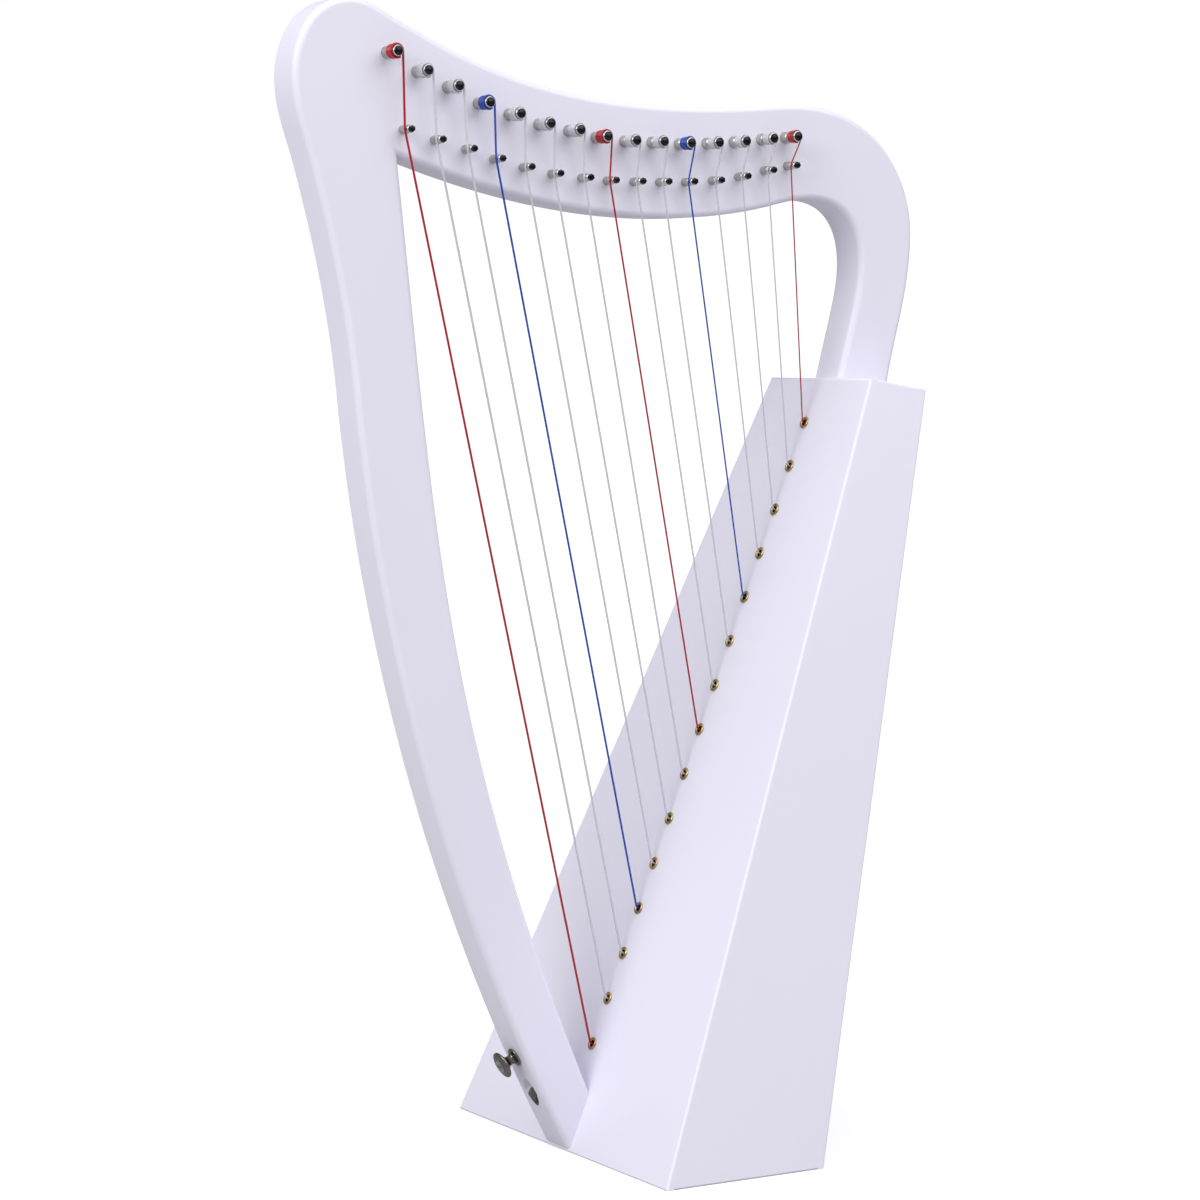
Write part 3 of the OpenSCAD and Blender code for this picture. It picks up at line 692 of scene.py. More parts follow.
def pillar_hardware_holes():
    """The counterbored bolt hole and the strap button's screw hole."""
    strap = along(PILLAR_FRONT_LOW, STRAP_PLACE)
    slope_a = along(PILLAR_FRONT_LOW, STRAP_PLACE - STRAP_SLOPE_STEP)
    slope_b = along(PILLAR_FRONT_LOW, STRAP_PLACE + STRAP_SLOPE_STEP)
    heading = math.atan2(-(slope_b[0] - slope_a[0]), slope_b[1] - slope_a[1])
    strap_turn = Matrix.Translation((strap[0], 0.0, strap[1])) @ Matrix.Rotation(
        math.pi / 2 - heading, 4, "Y"
    )
    sink = [
        (0.0, -60.0), (BOLT_RADIUS, -60.0), (BOLT_RADIUS, -BOLT_HEAD_DEPTH),
        (BOLT_HEAD_RADIUS, -BOLT_HEAD_DEPTH), (BOLT_HEAD_RADIUS, -BOLT_LIP_START),
    ]
    for k in (1, 2, 3):
        a = math.pi / 2 * k / 4
        wider = BOLT_HEAD_RADIUS + BOLT_LIP * (1 - math.cos(a))
        sink.append((wider, -BOLT_LIP_START + BOLT_LIP * math.sin(a)))
    sink += [(5.9, 0.2), (5.95, 12.0), (0.0, 12.0)]
    hole = turned("bolt_hole", sink, 48, bolt_axis())
    screw_line = [
        (0.0, -12.6), (STRAP_SCREW_RADIUS, -12.6), (STRAP_SCREW_RADIUS, 3.0), (0.0, 3.0)
    ]
    screw = turned("screw_hole", screw_line, 32, strap_turn)
    return join_meshes("pillar_holes", [hole, screw]), strap_turn


def build_frame():
    loop = frame_outline()
    pillar_part = [
        (-300, JOINT_Z), (-96.8 + BASE_FRONT, JOINT_Z), (-60 + BASE_FRONT, 480),
        (front_x(240, 0), 240), (front_x(2, 0), 2), (-300, 2),
    ]
    neck_part = [
        (-300, JOINT_Z), (-96.8 + BASE_FRONT, JOINT_Z), (-60 + BASE_FRONT, 480),
        (60, roof_z(60, 0)), (300, roof_z(300, 0)), (300, 650), (-300, 650),
    ]
    pillar = rounded_board("pillar_shaped", loop, HALF_THICKNESS, FRAME_ROUND)
    cut(pillar, prism("pillar_part", pillar_part, 40), "INTERSECT")
    holes, strap_turn = pillar_hardware_holes()
    cut(pillar, holes)
    neck = rounded_board("neck_shaped", loop, HALF_THICKNESS, FRAME_ROUND)
    cut(neck, prism("neck_part", neck_part, 40), "INTERSECT")
    bores = []
    for i in range(STRINGS):
        tx, tz = tuning_place(i)
        bx, bz = bridge_place(i)
        through = Matrix.Translation((tx, 0.0, tz)) @ NECK_TURN
        blind = Matrix.Translation((bx, 0.0, bz)) @ NECK_TURN
        bores.append(turned("bore", [(0, -30), (3.06, -30), (3.06, 30), (0, 30)], 32, through))
        bores.append(turned("bore", [(0, -0.5), (1.79, -0.5), (1.79, 30), (0, 30)], 24, blind))
    cut(neck, join_meshes("neck_bores", bores))
    into_bore = bolt_axis().inverted()
    for piece, node in ((pillar, "pillar"), (neck, "neck")):
        put_right(piece)
        set_materials(piece, [LACQUER, BORE_PAINTED_SHADE])
        for face in piece.data.polygons:
            at = into_bore @ (face.center / MM)
            facing = into_bore.to_3x3() @ face.normal
            in_bore = math.hypot(at.x, at.y) < 5.2 and at.z < -1.1
            # faces inside the bolt's counterbore take the dark painted shade material
            face.material_index = int(in_bore and (abs(facing.z) < 0.5 or at.z < -11.0))
        polish(piece)
        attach(piece, HARP)
        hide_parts(node)
    return strap_turn


# ---------------------------------------------------------------- soundbox


def slab(name, planes, widths, floor, under, rounds):
    """A flat panel between two leaning planes, with its own radius on each edge.

    rounds maps a pair of faces ("near", "far", "low", "high", "left", "right") to a radius."""
    points, labels = [], []
    for side, (plane, depth) in zip(("near", "far"), planes):
        for level in ("low", "high"):
            z = floor if level == "low" else roof_over(plane, depth, under)
            x = plane(z, depth)
            for hand, (sign, inset) in zip(("left", "right"), widths):
                points.append((x, sign * half_width(z, inset), z))
                labels.append({side, level, hand})
    faces = []
    for face_name in ("near", "far", "low", "high", "left", "right"):
        corner = [Vector(points[k]) for k in range(8) if face_name in labels[k]]
        index = [k for k in range(8) if face_name in labels[k]]
        middle = sum(corner, Vector()) / 4
        first = (corner[0] - middle).normalized()
        across = min(
            ((p - middle).normalized() for p in corner[1:]), key=lambda d: abs(d.dot(first))
        )
        side_way = first.cross(across).cross(first).normalized()
        order = sorted(range(4), key=lambda k: math.atan2(
            (corner[k] - middle).dot(side_way), (corner[k] - middle).dot(first)
        ))
        faces.append(tuple(index[k] for k in order))
    made = link_mesh(name, points, faces)
    put_right(made)
    widest = max(rounds.values()) if rounds else 0.0
    if widest:
        layer = made.data.attributes.new("bevel_weight_edge", "FLOAT", "EDGE")
        for edge in made.data.edges:
            shared = labels[edge.vertices[0]] & labels[edge.vertices[1]]
            for pair, radius in rounds.items():
                if set(pair) <= shared:
                    layer.data[edge.index].value = radius / widest
        step = made.modifiers.new("rounds", "BEVEL")
        step.limit_method = "WEIGHT"
        step.offset_type = "OFFSET"
        step.width = widest * MM
        step.segments = 6
        step.use_clamp_overlap = False
        bake_modifiers(made)
    return made


def build_soundboard():
    rounds = {("near", edge): radius for edge, radius in BOX_ROUNDS.items()}
    planes = [(front_x, 0.0), (front_x, BOARD)]
    board = slab("soundboard_panel", planes, [(-1, 0.0), (1, 0.0)], 0.0, 0.0, rounds)
    holes = []
    for i in range(STRINGS):
        x, z = eyelet_place(i)
        place = Matrix.Translation((x, 0.0, z)) @ BOARD_TURN
        holes.append(turned("hole", [(0, -9), (2.53, -9), (2.53, 6), (0, 6)], 28, place))
    bolt_line = [(0, -60), (BOLT_RADIUS, -60), (BOLT_RADIUS, 0), (0, 0)]
    holes.append(turned("hole", bolt_line, 28, bolt_axis()))
    cut(board, join_meshes("board_holes", holes))
    return board


def build_side_panels():
    both = []
    for hand in (-1, 1):
        widths = [(hand, 0.0), (hand, SIDE)]
        rounds = {("left", "high"): 1.0, ("left", "low"): 1.0}
        both.append(slab(
            "side", [(front_x, BOARD), (back_x, BACK)], widths, 0.0, 0.0, rounds
        ))
    return join_meshes("side_panels_pair", both)


def build_back():
    rounds = {("far", edge): radius for edge, radius in BOX_ROUNDS.items()}
    planes = [(back_x, BACK), (back_x, 0.0)]
    back = slab("back_board", planes, [(-1, 0.0), (1, 0.0)], 0.0, 0.0, rounds)
    holes = []
    for k in range(4):
        z = 84.0 + 80.0 * k
        radius = 32.0 * (1 - 0.14 * k)
        lip = [(0.0, -12.0), (radius, -12.0), (radius, -HOLE_LIP)]
        for s in range(1, 6):
            a = math.pi / 2 * s / 5
            lip.append((radius + HOLE_LIP * (1 - math.cos(a)), -HOLE_LIP + HOLE_LIP * math.sin(a)))
        lip += [(radius + 1.4, 6.0), (0.0, 6.0)]
        place = Matrix.Translation((back_x(z, 0.0), 0.0, z)) @ BACK_TURN
        holes.append(turned("sound_hole", lip, 96, place))
    cut(back, join_meshes("sound_holes", holes))
    return back


def build_soundbox():
    board, sides, back = build_soundboard(), build_side_panels(), build_back()
    planes = [(front_x, BOARD), (back_x, BACK)]
    top = slab("top_block_shaped", planes, [(-1, SIDE), (1, SIDE)], 0.0, 0.0, {})
    for vertex in top.data.vertices:
        if vertex.co.z < 0.1:
            plane, depth = (front_x, BOARD) if vertex.co.x < 0 else (back_x, BACK)
            z = roof_over(plane, depth, TOP_BLOCK)
            sign = 1 if vertex.co.y > 0 else -1
            vertex.co = Vector((plane(z, depth), sign * half_width(z, SIDE), z)) * MM
    front_normal = -BOARD_OUT
    back_normal = Vector((-math.cos(BACK_LEAN), 0.0, math.sin(BACK_LEAN)))
    pieces = (
        (board, "soundboard", lambda f: f.normal.dot(front_normal) > 0.9),
        (sides, "side_panels", lambda f: f.normal.y * f.center.y < -0.5 * abs(f.center.y)),
        (back, "back_panel", lambda f: f.normal.dot(back_normal) > 0.9),
        (top, "top_block", lambda f: f.normal.z < -0.8),
    )
    for piece, node, inside in pieces:
        put_right(piece)
        set_materials(piece, [LACQUER_BOX, BARE_WOOD])
        inner_faces_bare(piece, inside)
        polish(piece)
        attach(piece, HARP)
        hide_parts(node)


# ---------------------------------------------------------------- geometry node trees


def geometry_tree(name, inputs):
    tree = bpy.data.node_groups.new(name, "GeometryNodeTree")
    tree.interface.new_socket("Geometry", in_out="INPUT", socket_type="NodeSocketGeometry")
    for label, kind, value in inputs:
        made = tree.interface.new_socket(label, in_out="INPUT", socket_type=kind)
        if value is not None:
            made.default_value = value
    tree.interface.new_socket("Geometry", in_out="OUTPUT", socket_type="NodeSocketGeometry")
    return tree, tree.nodes.new("NodeGroupInput"), tree.nodes.new("NodeGroupOutput")


def make_sweep_tree():
    """A round string of a given radius that follows a path of points."""
    tree, given, out = geometry_tree(
        "wound_string",
        [
            ("String Radius", "NodeSocketFloat", 0.0005),
            ("Sides", "NodeSocketInt", 12),
            ("Finish", "NodeSocketMaterial", None),
        ],
    )
    link = tree.links.new
    to_curve = tree.nodes.new("GeometryNodeMeshToCurve")
    circle = tree.nodes.new("GeometryNodeCurvePrimitiveCircle")
    to_mesh = tree.nodes.new("GeometryNodeCurveToMesh")
    to_mesh.inputs["Fill Caps"].default_value = True
    smooth = tree.nodes.new("GeometryNodeSetShadeSmooth")
    realize = tree.nodes.new("GeometryNodeRealizeInstances")
    paint = tree.nodes.new("GeometryNodeSetMaterial")
    link(given.outputs["Geometry"], to_curve.inputs["Mesh"])
    link(given.outputs["String Radius"], circle.inputs["Radius"])
    link(given.outputs["Sides"], circle.inputs["Resolution"])
    link(to_curve.outputs["Curve"], to_mesh.inputs["Curve"])
    link(circle.outputs["Curve"], to_mesh.inputs["Profile Curve"])
    link(to_mesh.outputs["Mesh"], smooth.inputs["Geometry"])
    link(smooth.outputs["Geometry"], realize.inputs["Geometry"])
    link(realize.outputs["Geometry"], paint.inputs["Geometry"])
    link(given.outputs["Finish"], paint.inputs["Material"])
    link(paint.outputs["Geometry"], out.inputs["Geometry"])
    return tree


def make_row_tree():
    """One fitting set at every point of a row, each turned a little about its own axis."""
    tree, given, out = geometry_tree(
        "row_of_fittings",
        [
            ("Fitting", "NodeSocketObject", None),
            ("Tilt", "NodeSocketRotation", None),
            ("Turn", "NodeSocketFloat", 0.3),
            ("Seed", "NodeSocketInt", 7),
            ("Shank", "NodeSocketMaterial", None),
            ("Collar", "NodeSocketMaterial", None),
            ("End", "NodeSocketMaterial", None),
        ],
    )
    link = tree.links.new
    fitting = tree.nodes.new("GeometryNodeObjectInfo")
    points = tree.nodes.new("GeometryNodeMeshToPoints")
    place = tree.nodes.new("GeometryNodeInstanceOnPoints")
    chance = tree.nodes.new("FunctionNodeRandomValue")
    chance.data_type = "FLOAT"
    low = tree.nodes.new("ShaderNodeMath")
    low.operation = "MULTIPLY"
    low.inputs[1].default_value = -1.0
    spin = tree.nodes.new("ShaderNodeCombineXYZ")
    turn = tree.nodes.new("GeometryNodeRotateInstances")
    realize = tree.nodes.new("GeometryNodeRealizeInstances")
    link(given.outputs["Fitting"], fitting.inputs["Object"])
    link(given.outputs["Geometry"], points.inputs["Mesh"])
    link(points.outputs["Points"], place.inputs["Points"])
    link(fitting.outputs["Geometry"], place.inputs["Instance"])
    link(given.outputs["Tilt"], place.inputs["Rotation"])
    link(given.outputs["Turn"], low.inputs[0])
    float_in = [s for s in chance.inputs if s.enabled and s.name in ("Min", "Max")]
    link(low.outputs["Value"], float_in[0])
    link(given.outputs["Turn"], float_in[1])
    link(given.outputs["Seed"], chance.inputs["Seed"])
    value = next(s for s in chance.outputs if s.enabled)
    link(value, spin.inputs["Z"])
    link(place.outputs["Instances"], turn.inputs["Instances"])
    link(spin.outputs["Vector"], turn.inputs["Rotation"])
    link(turn.outputs["Instances"], realize.inputs["Geometry"])
    last = realize.outputs["Geometry"]
    finish = tree.nodes.new("GeometryNodeInputNamedAttribute")
    finish.data_type = "INT"
    finish.inputs["Name"].default_value = "finish"
    mark = next(s for s in finish.outputs if s.enabled)
    for number, label in enumerate(("Shank", "Collar", "End")):
        chosen = tree.nodes.new("FunctionNodeCompare")
        chosen.data_type = "INT"
        chosen.operation = "EQUAL"
        first, second = [s for s in chosen.inputs if s.enabled and s.name in ("A", "B")]
        link(mark, first)
        second.default_value = number
        paint = tree.nodes.new("GeometryNodeSetMaterial")
        link(last, paint.inputs["Geometry"])
        link(chosen.outputs["Result"], paint.inputs["Selection"])
        link(given.outputs[label], paint.inputs["Material"])
        last = paint.outputs["Geometry"]
    link(last, out.inputs["Geometry"])
    return tree


SWEEP = make_sweep_tree()
ROW = make_row_tree()


def run_tree(target, tree, values):
    step = target.modifiers.new("shape", "NODES")
    step.node_group = tree
    for item in tree.interface.items_tree:
        if item.in_out == "INPUT" and item.name in values:
            step[item.identifier] = values[item.name]
    bake_modifiers(target)
    return target


def swept(name, path, radius, finish, sides=12):
    """A string along a path of points given in millimetres."""
    mesh = bpy.data.meshes.new(name)
    edges = [(k, k + 1) for k in range(len(path) - 1)]
    mesh.from_pydata([tuple(Vector(p) * MM) for p in path], edges, [])
    made = bpy.data.objects.new(name, mesh)
    scene.collection.objects.link(made)
    run_tree(made, SWEEP, {"String Radius": radius * MM, "Sides": sides, "Finish": finish})
    return made


def row_of(name, fitting, places, tilt, spin, seed, finishes):
    mesh = bpy.data.meshes.new(name)
    mesh.from_pydata([tuple(Vector(p) * MM) for p in places], [], [])
    made = bpy.data.objects.new(name, mesh)
    scene.collection.objects.link(made)
    values = {"Fitting": fitting, "Tilt": tilt, "Turn": spin, "Seed": seed}
    values.update(zip(("Shank", "Collar", "End"), finishes))
    run_tree(made, ROW, values)
    bpy.data.objects.remove(fitting)
    return made


# ---------------------------------------------------------------- strings, coils and pins


def string_ring(i):
    return SEAT_RADIUS + STRING_GAP + string_radius(i)


def groove_ring(i):
    return GROOVE_RADIUS + 0.03 + string_radius(i) * 1.03


def string_leave(i):
    return COLLAR_START - string_radius(i) - 0.1


def coil_top(i):
    return string_leave(i) - string_radius(i) - STRING_GAP


def pin_heading(i):
    tx, tz = tuning_place(i)
    bx, bz = bridge_place(i)
    reach = math.hypot(bx - tx, bz - tz)
    return math.atan2(bz - tz, bx - tx) - math.asin((string_ring(i) + groove_ring(i)) / reach)


def mouth(i):
    x, z = eyelet_place(i)
    return Vector((x, 0.0, z)) + BOARD_OUT * 1.5


def leave_angle(i):
    bx, bz = bridge_place(i)
    at = mouth(i)
    reach = math.hypot(at.x - bx, at.z - bz)
    return math.atan2(at.z - bz, at.x - bx) + 2 * math.pi - math.acos(groove_ring(i) / reach)


def soften(points, reach, steps=6):
    """Corners of a path turned into short bends."""
    out = [points[0]]
    for before, here, after in zip(points, points[1:], points[2:]):
        a = here + (before - here).normalized() * min(reach, (before - here).length * 0.45)
        b = here + (after - here).normalized() * min(reach, (after - here).length * 0.45)
        for k in range(steps + 1):
            t = k / steps
            out.append(a * (1 - t) ** 2 + here * 2 * t * (1 - t) + b * t * t)
    return out + [points[-1]]


def string_path(i):
    """From the knot, over the eyelet and the bridge pin, and round the tuning pin."""
    x, z = eyelet_place(i)
    knot_depth = 11.0 + math.sqrt(KNOT_RADIUS ** 2 - EYELET_BORE ** 2) + 0.1
    knot = Vector((x, 0.0, z)) - BOARD_OUT * knot_depth
    bx, bz = bridge_place(i)
    ring = groove_ring(i)
    y = -HALF_THICKNESS - GROOVE_HEIGHT
    start, end = leave_angle(i), pin_heading(i) + math.radians(270)
    turn = (end - start + math.pi) % (2 * math.pi) - math.pi
    groove = []
    for k in range(9):
        angle = start + turn * k / 8
        groove.append(Vector((bx + ring * math.cos(angle), y, bz + ring * math.sin(angle))))
    lower = soften([knot, mouth(i), groove[0]], 1.6)[:-1]
    tx, tz = tuning_place(i)
    wrap = []
    first = pin_heading(i) + math.pi / 2
    last_y = -HALF_THICKNESS - string_leave(i)
    for k in range(33):
        turn_so_far = math.radians(300) * k / 32
        wrap.append(Vector((
            tx + string_ring(i) * math.cos(first + turn_so_far),
            last_y + 0.25 * turn_so_far / math.radians(300) * STRING_GAP,
            tz + string_ring(i) * math.sin(first + turn_so_far),
        )))
    return [tuple(p) for p in lower + groove + wrap], knot


def coil_path(i):
    """Turns wound side by side from the string hole up to the last turn on the pin."""
    tx, tz = tuning_place(i)
    radius = string_radius(i)
    ring = SEAT_RADIUS + 0.03 + radius
    pitch = min(1.96 * radius, (coil_top(i) - SEAT_START - 0.2) / 4)
    high = coil_top(i) - radius
    turns = 3.0 + (high - 3 * pitch - radius - SEAT_START - 0.1) / pitch * 0.5
    turns = max(2.9, min(4.6, turns + 0.9))
    low = max(high - turns * pitch, SEAT_START + radius + 0.1)
    steps = int(turns * 28)
    start = pin_heading(i) + math.radians(60)
    path = []
    for k in range(steps + 1):
        part = k / steps
        angle = start - 2 * math.pi * turns * (1 - part)
        height = low + (high - low) * part
        path.append((
            tx + ring * math.cos(angle), -HALF_THICKNESS - height, tz + ring * math.sin(angle)
        ))
    return path


def string_knot(name, centre, finish):
    """The overhand knot that holds a string behind the soundboard: one fat trefoil."""
    path = []
    for k in range(97):
        t = 2 * math.pi * k / 96
        offset = Vector((
            math.sin(t) + 2 * math.sin(2 * t), math.cos(t) - 2 * math.cos(2 * t), -math.sin(3 * t)
        )) * 0.5
        path.append(tuple(centre + offset))
    return swept(name, path, 0.6, finish, 8)


def build_strings():
    for i in range(STRINGS):
        look = STRING_LOOKS[string_slot(i)]
        path, knot = string_path(i)
        line = swept("line", path, string_radius(i), look, 14)
        tied = string_knot("tied", knot, look)
        piece = join_meshes(f"string_{i + 1:02d}_strung", [line, tied])
        piece.data.materials.clear()
        piece.data.materials.append(look)
        piece.data.polygons.foreach_set("material_index", [0] * len(piece.data.polygons))
        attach(piece, HARP)
        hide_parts(f"string_{i + 1:02d}")
        coil = swept(f"coil_{i + 1:02d}_wound", coil_path(i), string_radius(i), look, 14)
        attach(coil, f"pin_{i + 1:02d}")
        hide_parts(f"string_coil_{i + 1:02d}")


def pin_profile():
    """(radius, height, finish); finish 0 is satin shank, 1 polished collar, 2 end coloured near
    black as a painted reflection of a dark room.
    """
    rows = [
        (3.0, -HALF_THICKNESS * 2 - 1.6, 0), (3.0, 0.0, 0), (3.0, SEAT_START - 0.75, 0),
        (2.93, SEAT_START - 0.5, 0), (2.78, SEAT_START - 0.25, 0), (SEAT_RADIUS, SEAT_START, 0),
        (SEAT_RADIUS, COLLAR_START - 0.1, 1), (2.62, COLLAR_START, 1),
        (2.77, COLLAR_START + 0.14, 1), (2.8, COLLAR_START + 0.35, 1),
        (2.8, PIN_REACH - 1.42, 1), (2.74, PIN_REACH - 1.2, 1),
        (2.6, PIN_REACH - 1.04, 1), (2.46, PIN_REACH - 0.98, 2), (DOME_RADIUS, PIN_REACH - 0.96, 2),
    ]
    for k in range(1, 8):
        a = math.pi / 2 * k / 8
        rows.append((DOME_RADIUS * math.cos(a), PIN_REACH - 0.96 + 0.92 * math.sin(a), 2))
    rows.append((0.0, PIN_REACH - 0.02, 2))
    return rows


def build_tuning_pin(i):
    """Round on the string side, square for the tuning key on the far side."""
    tx, tz = tuning_place(i)
    sides = 48
    spin = random.Random(200 + i).uniform(0.0, math.pi / 2)
    rows = pin_profile()
    points, faces, marks = [], [], []

    def ring(radius, height, square):
        out = []
        for k in range(sides):
            a = 2 * math.pi * k / sides
            round_r = radius
            if square > 0.0:
                edge = KEY_SQUARE / 2 * (1 - 0.06 * max(0.0, square - 1.0))
                corner = 1.0 / max(abs(math.cos(a)), abs(math.sin(a)))
                flat = min(edge * corner, 2.72 - 0.1 * max(0.0, square - 1.0))
                round_r = radius + (min(flat, radius) - radius) * min(square, 1.0)
            out.append((round_r * math.cos(a + spin), round_r * math.sin(a + spin), height))
        return out

    tail_start = -HALF_THICKNESS * 2 - 1.9
    tail_end = -HALF_THICKNESS * 2 - KEY_REACH
    tail = [
        (1.75, tail_end, 2.0, 1), (2.35, tail_end + 0.45, 2.0, 1), (2.72, tail_end + 1.0, 1.9, 1),
        (2.8, tail_end + 5.0, 1.4, 1), (2.85, tail_start - 1.0, 1.0, 1),
        (2.95, tail_start - 0.3, 0.55, 0), (3.0, tail_start, 0.0, 0),
    ]
    rings = [(ring(r, h, s), mark) for r, h, s, mark in tail]
    rings += [(ring(r, h, 0.0), mark) for r, h, mark in rows if r > 0.0]
    points.append((0.0, 0.0, tail_end))
    for line, _ in rings:
        points += line
    points.append((0.0, 0.0, rows[-1][1]))
    top = len(points) - 1
    for k in range(sides):
        n = (k + 1) % sides
        faces.append((0, 1 + n, 1 + k))
        marks.append(1)
        for r in range(len(rings) - 1):
            a, b = 1 + r * sides, 1 + (r + 1) * sides
            faces.append((a + k, a + n, b + n, b + k))
            marks.append(rings[r][1])
        a = 1 + (len(rings) - 1) * sides
        faces.append((a + k, a + n, top))
        marks.append(2)
    place = Matrix.Translation((tx, -HALF_THICKNESS, tz)) @ NECK_TURN
    placed = [tuple(place @ Vector(p)) for p in points]
    piece = link_mesh(f"tuning_pin_{i + 1:02d}_turned", placed, faces)
    # finish 2, the end, is coloured near black as a painted reflection
    set_materials(piece, [SATIN_NICKEL, CHROME, PIN_END_PAINTED_REFLECTION])
    piece.data.polygons.foreach_set("material_index", marks)
    put_right(piece)
    polish(piece, 34.0)
    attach(piece, f"pin_{i + 1:02d}")
    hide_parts(f"tuning_pin_{i + 1:02d}")


def bridge_pin_template():
    """Satin shank, string groove, polished collar and six-sided end coloured near black as a
    painted reflection, about Z.
    """
    half = 0.85
    rows = [
        (0.0, -12.4, 0), (1.5, -12.4, 0), (1.76, -12.0, 0), (1.76, 0.0, 0), (2.2, 0.02, 0),
        (2.2, GROOVE_HEIGHT - half - 0.7, 0), (2.12, GROOVE_HEIGHT - half - 0.55, 0),
        (1.72, GROOVE_HEIGHT - half - 0.08, 0), (GROOVE_RADIUS, GROOVE_HEIGHT - half + 0.15, 1),
        (GROOVE_RADIUS, GROOVE_HEIGHT + half - 0.15, 1), (1.72, GROOVE_HEIGHT + half + 0.05, 1),
        (1.98, GROOVE_HEIGHT + half + 0.3, 1), (2.06, GROOVE_HEIGHT + half + 0.55, 1),
        (2.06, 9.35, 1), (2.0, 9.62, 1), (1.85, 9.78, 1),
    ]
    sides = 48
    points, faces, marks = [], [], []
    hexagon = [
        (1.74, 9.8, 1.0, 2), (1.74, 10.95, 1.0, 2), (1.62, 11.25, 1.0, 2), (1.3, 11.36, 0.6, 2),
        (0.5, 11.38, 0.3, 2),
    ]
    levels = [(r, h, 0.0, m) for r, h, m in rows if r > 0] + hexagon
    for radius, height, six, _ in levels:
        for k in range(sides):
            a = 2 * math.pi * k / sides
            wedge = (a + math.pi / 6) % (math.pi / 3) - math.pi / 6
            flat = radius * math.cos(math.pi / 6) / math.cos(wedge) * 1.03
            r = radius + (min(flat, radius) - radius) * six
            points.append((r * math.cos(a), r * math.sin(a), height))
    points.append((0.0, 0.0, -12.4))
    points.append((0.0, 0.0, 11.39))
    bottom, top = len(points) - 2, len(points) - 1
    for k in range(sides):
        n = (k + 1) % sides
        faces.append((bottom, n, k))
        marks.append(0)
        for r in range(len(levels) - 1):
            faces.append((r * sides + k, r * sides + n, (r + 1) * sides + n, (r + 1) * sides + k))
            marks.append(levels[r][3])
        a = (len(levels) - 1) * sides
        faces.append((a + k, a + n, top))
        marks.append(2)
    made = link_mesh("bridge_pin_template", points, faces)
    layer = made.data.attributes.new("finish", "INT", "FACE")
    layer.data.foreach_set("value", marks)
    put_right(made)
    return made


def build_rows():
    places = [(x, -HALF_THICKNESS, z) for x, z in (bridge_place(i) for i in range(STRINGS))]
    row = row_of(
        "bridge_pin_row", bridge_pin_template(), places, (math.pi / 2, 0.0, 0.0), 0.5, 11,
        (SATIN_NICKEL, CHROME, PIN_END_PAINTED_REFLECTION),
    )
    polish(row, 34.0)
    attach(row, HARP)
    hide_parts("bridge_pins")

    rim = [(EYELET_BORE, -BOARD), (2.5, -BOARD), (2.5, 0.02), (3.3, 0.02), (3.48, 0.2)]
    for k in range(9):
        a = math.pi * k / 8
        rim.append((2.6 + 0.86 * math.cos(a), 0.3 + 0.62 * math.sin(a)))
    rim.append((EYELET_BORE, 0.1))
    template = turned("eyelet_template", rim, 40, closed=True, finishes=[0] * len(rim))
    places = [(x, 0.0, z) for x, z in (eyelet_place(i) for i in range(STRINGS))]
    row = row_of(
        "eyelet_row", template, places, (0.0, FRONT_LEAN - math.pi / 2, 0.0), 1.5, 5,
        (BRASS, BRASS, BRASS),
    )
    polish(row, 50.0)
    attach(row, HARP)
    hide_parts("string_eyelets")


def build_strap_button(strap_turn):
    """A mushroom button: wide seat, narrow waist for the strap and a dished head."""
    head = STRAP_HEAD_RADIUS
    outline = [
        (STRAP_SCREW_RADIUS, 0.0), (head * 0.66, 0.0), (head * 0.695, 0.35),
        (head * 0.68, 0.95), (head * 0.6, 1.35),
        (head * 0.47, 1.8), (head * 0.39, 2.4), (head * 0.355, 3.1), (head * 0.355, 3.9),
        (head * 0.39, 4.8), (head * 0.5, 5.8), (head * 0.68, 6.75), (head * 0.88, 7.4),
        (head * 0.97, 7.85), (head, 8.3), (head * 0.985, 8.75), (head * 0.9, 9.2),
        (head * 0.7, 9.55), (head * 0.55, 9.7), (3.31, 9.78), (STRAP_SCREW_RADIUS, 8.28),
    ]
    fine = []
    count = len(outline)
    for k in range(1, count - 3):
        p0, p1, p2, p3 = (outline[max(1, k - 1)], outline[k], outline[k + 1], outline[k + 2])
        for s in range(4):
            t = s / 4
            fine.append(tuple(
                0.5 * (2 * p1[c] + (p2[c] - p0[c]) * t
                       + (2 * p0[c] - 5 * p1[c] + 4 * p2[c] - p3[c]) * t * t
                       + (3 * p1[c] - p0[c] - 3 * p2[c] + p3[c]) * t ** 3)
                for c in (0, 1)
            ))
    profile = [outline[0]] + fine + [outline[-3], outline[-2], outline[-1]]
    place = strap_turn @ Matrix.Translation((0.0, 0.0, 0.05))
    piece = turned("strap_button_turned", profile, 72, place, closed=True)
    # the button's dark colour is a painted reflection of dark surroundings
    set_materials(piece, [BUTTON_PAINTED_REFLECTION])
    polish(piece, 40.0)
    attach(piece, HARP)
    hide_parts("strap_button")


def finish_hidden_pieces():
    """Pieces inside the joints and the box keep their own shape and get a finish."""
    looks = {
        "frame_dowels": BARE_WOOD, "foot_block": BARE_WOOD_ACROSS, "base_plate": BARE_WOOD_ACROSS,
        "string_rib": BARE_WOOD, "foot_bolt": STEEL, "strap_button_screw": STEEL,
    }
    for node, look in looks.items():
        set_materials(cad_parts[node], [look])


# ---------------------------------------------------------------- studio


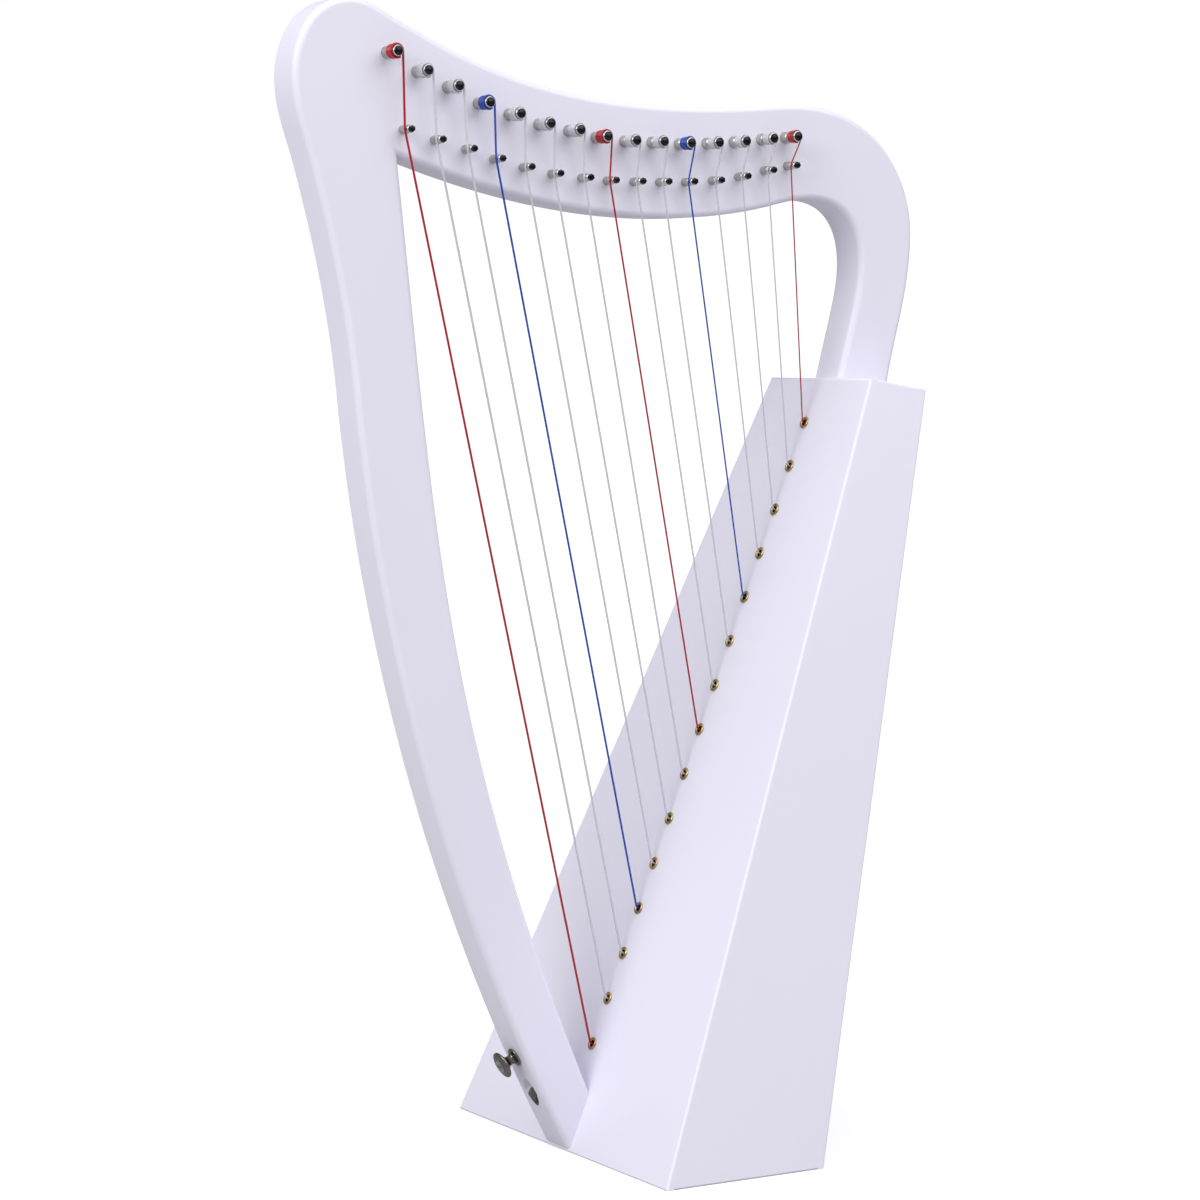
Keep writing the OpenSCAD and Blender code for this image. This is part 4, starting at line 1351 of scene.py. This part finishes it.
def studio_paper():
    """Pale paper that looks bright but throws little light back up at the harp."""
    material = bpy.data.materials.new("studio_paper")
    material.use_nodes = True
    tree = material.node_tree
    shader = tree.nodes["Principled BSDF"]
    where = tree.nodes.new("ShaderNodeTexCoord")
    fibre = noise_node(tree, where.outputs["Object"], 60.0, 3.0)
    tone = range_node(tree, fibre.outputs["Fac"], 0.0, 1.0, 0.3, 0.7)
    colour = mix_colour(tree, tone, (0.94, 0.94, 0.945, 1.0), (0.955, 0.955, 0.96, 1.0))
    tree.links.new(colour, shader.inputs["Base Color"])
    shader.inputs["Roughness"].default_value = 0.9
    shader.inputs["Specular IOR Level"].default_value = 0.1
    shader.inputs["Emission Color"].default_value = (1.0, 1.0, 1.0, 1.0)
    shader.inputs["Emission Strength"].default_value = PAPER_LIFT
    quiet = tree.nodes.new("ShaderNodeBsdfDiffuse")
    quiet.inputs["Color"].default_value = (PAPER_BOUNCE, PAPER_BOUNCE, PAPER_BOUNCE, 1.0)
    path = tree.nodes.new("ShaderNodeLightPath")
    mix = tree.nodes.new("ShaderNodeMixShader")
    tree.links.new(path.outputs["Is Camera Ray"], mix.inputs[0])
    tree.links.new(quiet.outputs["BSDF"], mix.inputs[1])
    tree.links.new(shader.outputs["BSDF"], mix.inputs[2])
    tree.links.new(mix.outputs["Shader"], tree.nodes["Material Output"].inputs["Surface"])
    return material


def studio_sky():
    """Soft light from all round, brighter overhead than near the floor."""
    world = bpy.data.worlds.new("studio_world")
    scene.world = world
    world.use_nodes = True
    tree = world.node_tree
    sky = tree.nodes["Background"]
    where = tree.nodes.new("ShaderNodeTexCoord")
    split = tree.nodes.new("ShaderNodeSeparateXYZ")
    tree.links.new(where.outputs["Generated"], split.inputs["Vector"])
    height = range_node(tree, split.outputs["Z"], 0.0, 1.0, -0.1, 0.7)
    colour = mix_colour(tree, height, SKY_LOW, SKY_HIGH)
    tree.links.new(colour, sky.inputs["Color"])
    sky.inputs["Strength"].default_value = SKY_STRENGTH


def build_studio():
    half, back, rise, bend_radius = 3.0, 2.2, 3.0, 0.9
    rows = [(-3.2, 0.0), (back - bend_radius, 0.0)]
    for k in range(1, 17):
        a = math.pi / 2 * k / 16
        run = back - bend_radius + bend_radius * math.sin(a)
        rows.append((run, bend_radius * (1 - math.cos(a))))
    rows.append((back, rise))
    away = Matrix.Rotation(math.radians(-30.53), 4, "Z")
    points = []
    for run, height in rows:
        for side in (-half, half):
            points.append(tuple(away @ Vector((side, run, height - 0.0002))))
    faces = [(2 * k, 2 * k + 1, 2 * k + 3, 2 * k + 2) for k in range(len(rows) - 1)]
    mesh = bpy.data.meshes.new("studio_floor")
    mesh.from_pydata(points, [], faces)
    floor = bpy.data.objects.new("studio_floor", mesh)
    scene.collection.objects.link(floor)
    mesh.polygons.foreach_set("use_smooth", [True] * len(mesh.polygons))
    set_materials(floor, [studio_paper()])
    studio_sky()

    aim = Vector(LAMP_AIM)
    for name, place, size, power in LAMPS:
        lamp = bpy.data.lights.new(name, "AREA")
        lamp.shape = "RECTANGLE"
        lamp.size, lamp.size_y = size
        lamp.energy = power
        made = bpy.data.objects.new(name, lamp)
        made.location = place
        made.rotation_euler = (aim - Vector(place)).to_track_quat("-Z", "Y").to_euler()
        scene.collection.objects.link(made)


strap_place = build_frame()
build_soundbox()
build_rows()
build_strap_button(strap_place)
for number in range(STRINGS):
    build_tuning_pin(number)
build_strings()
finish_hidden_pieces()
build_studio()

bpy.context.view_layer.update()
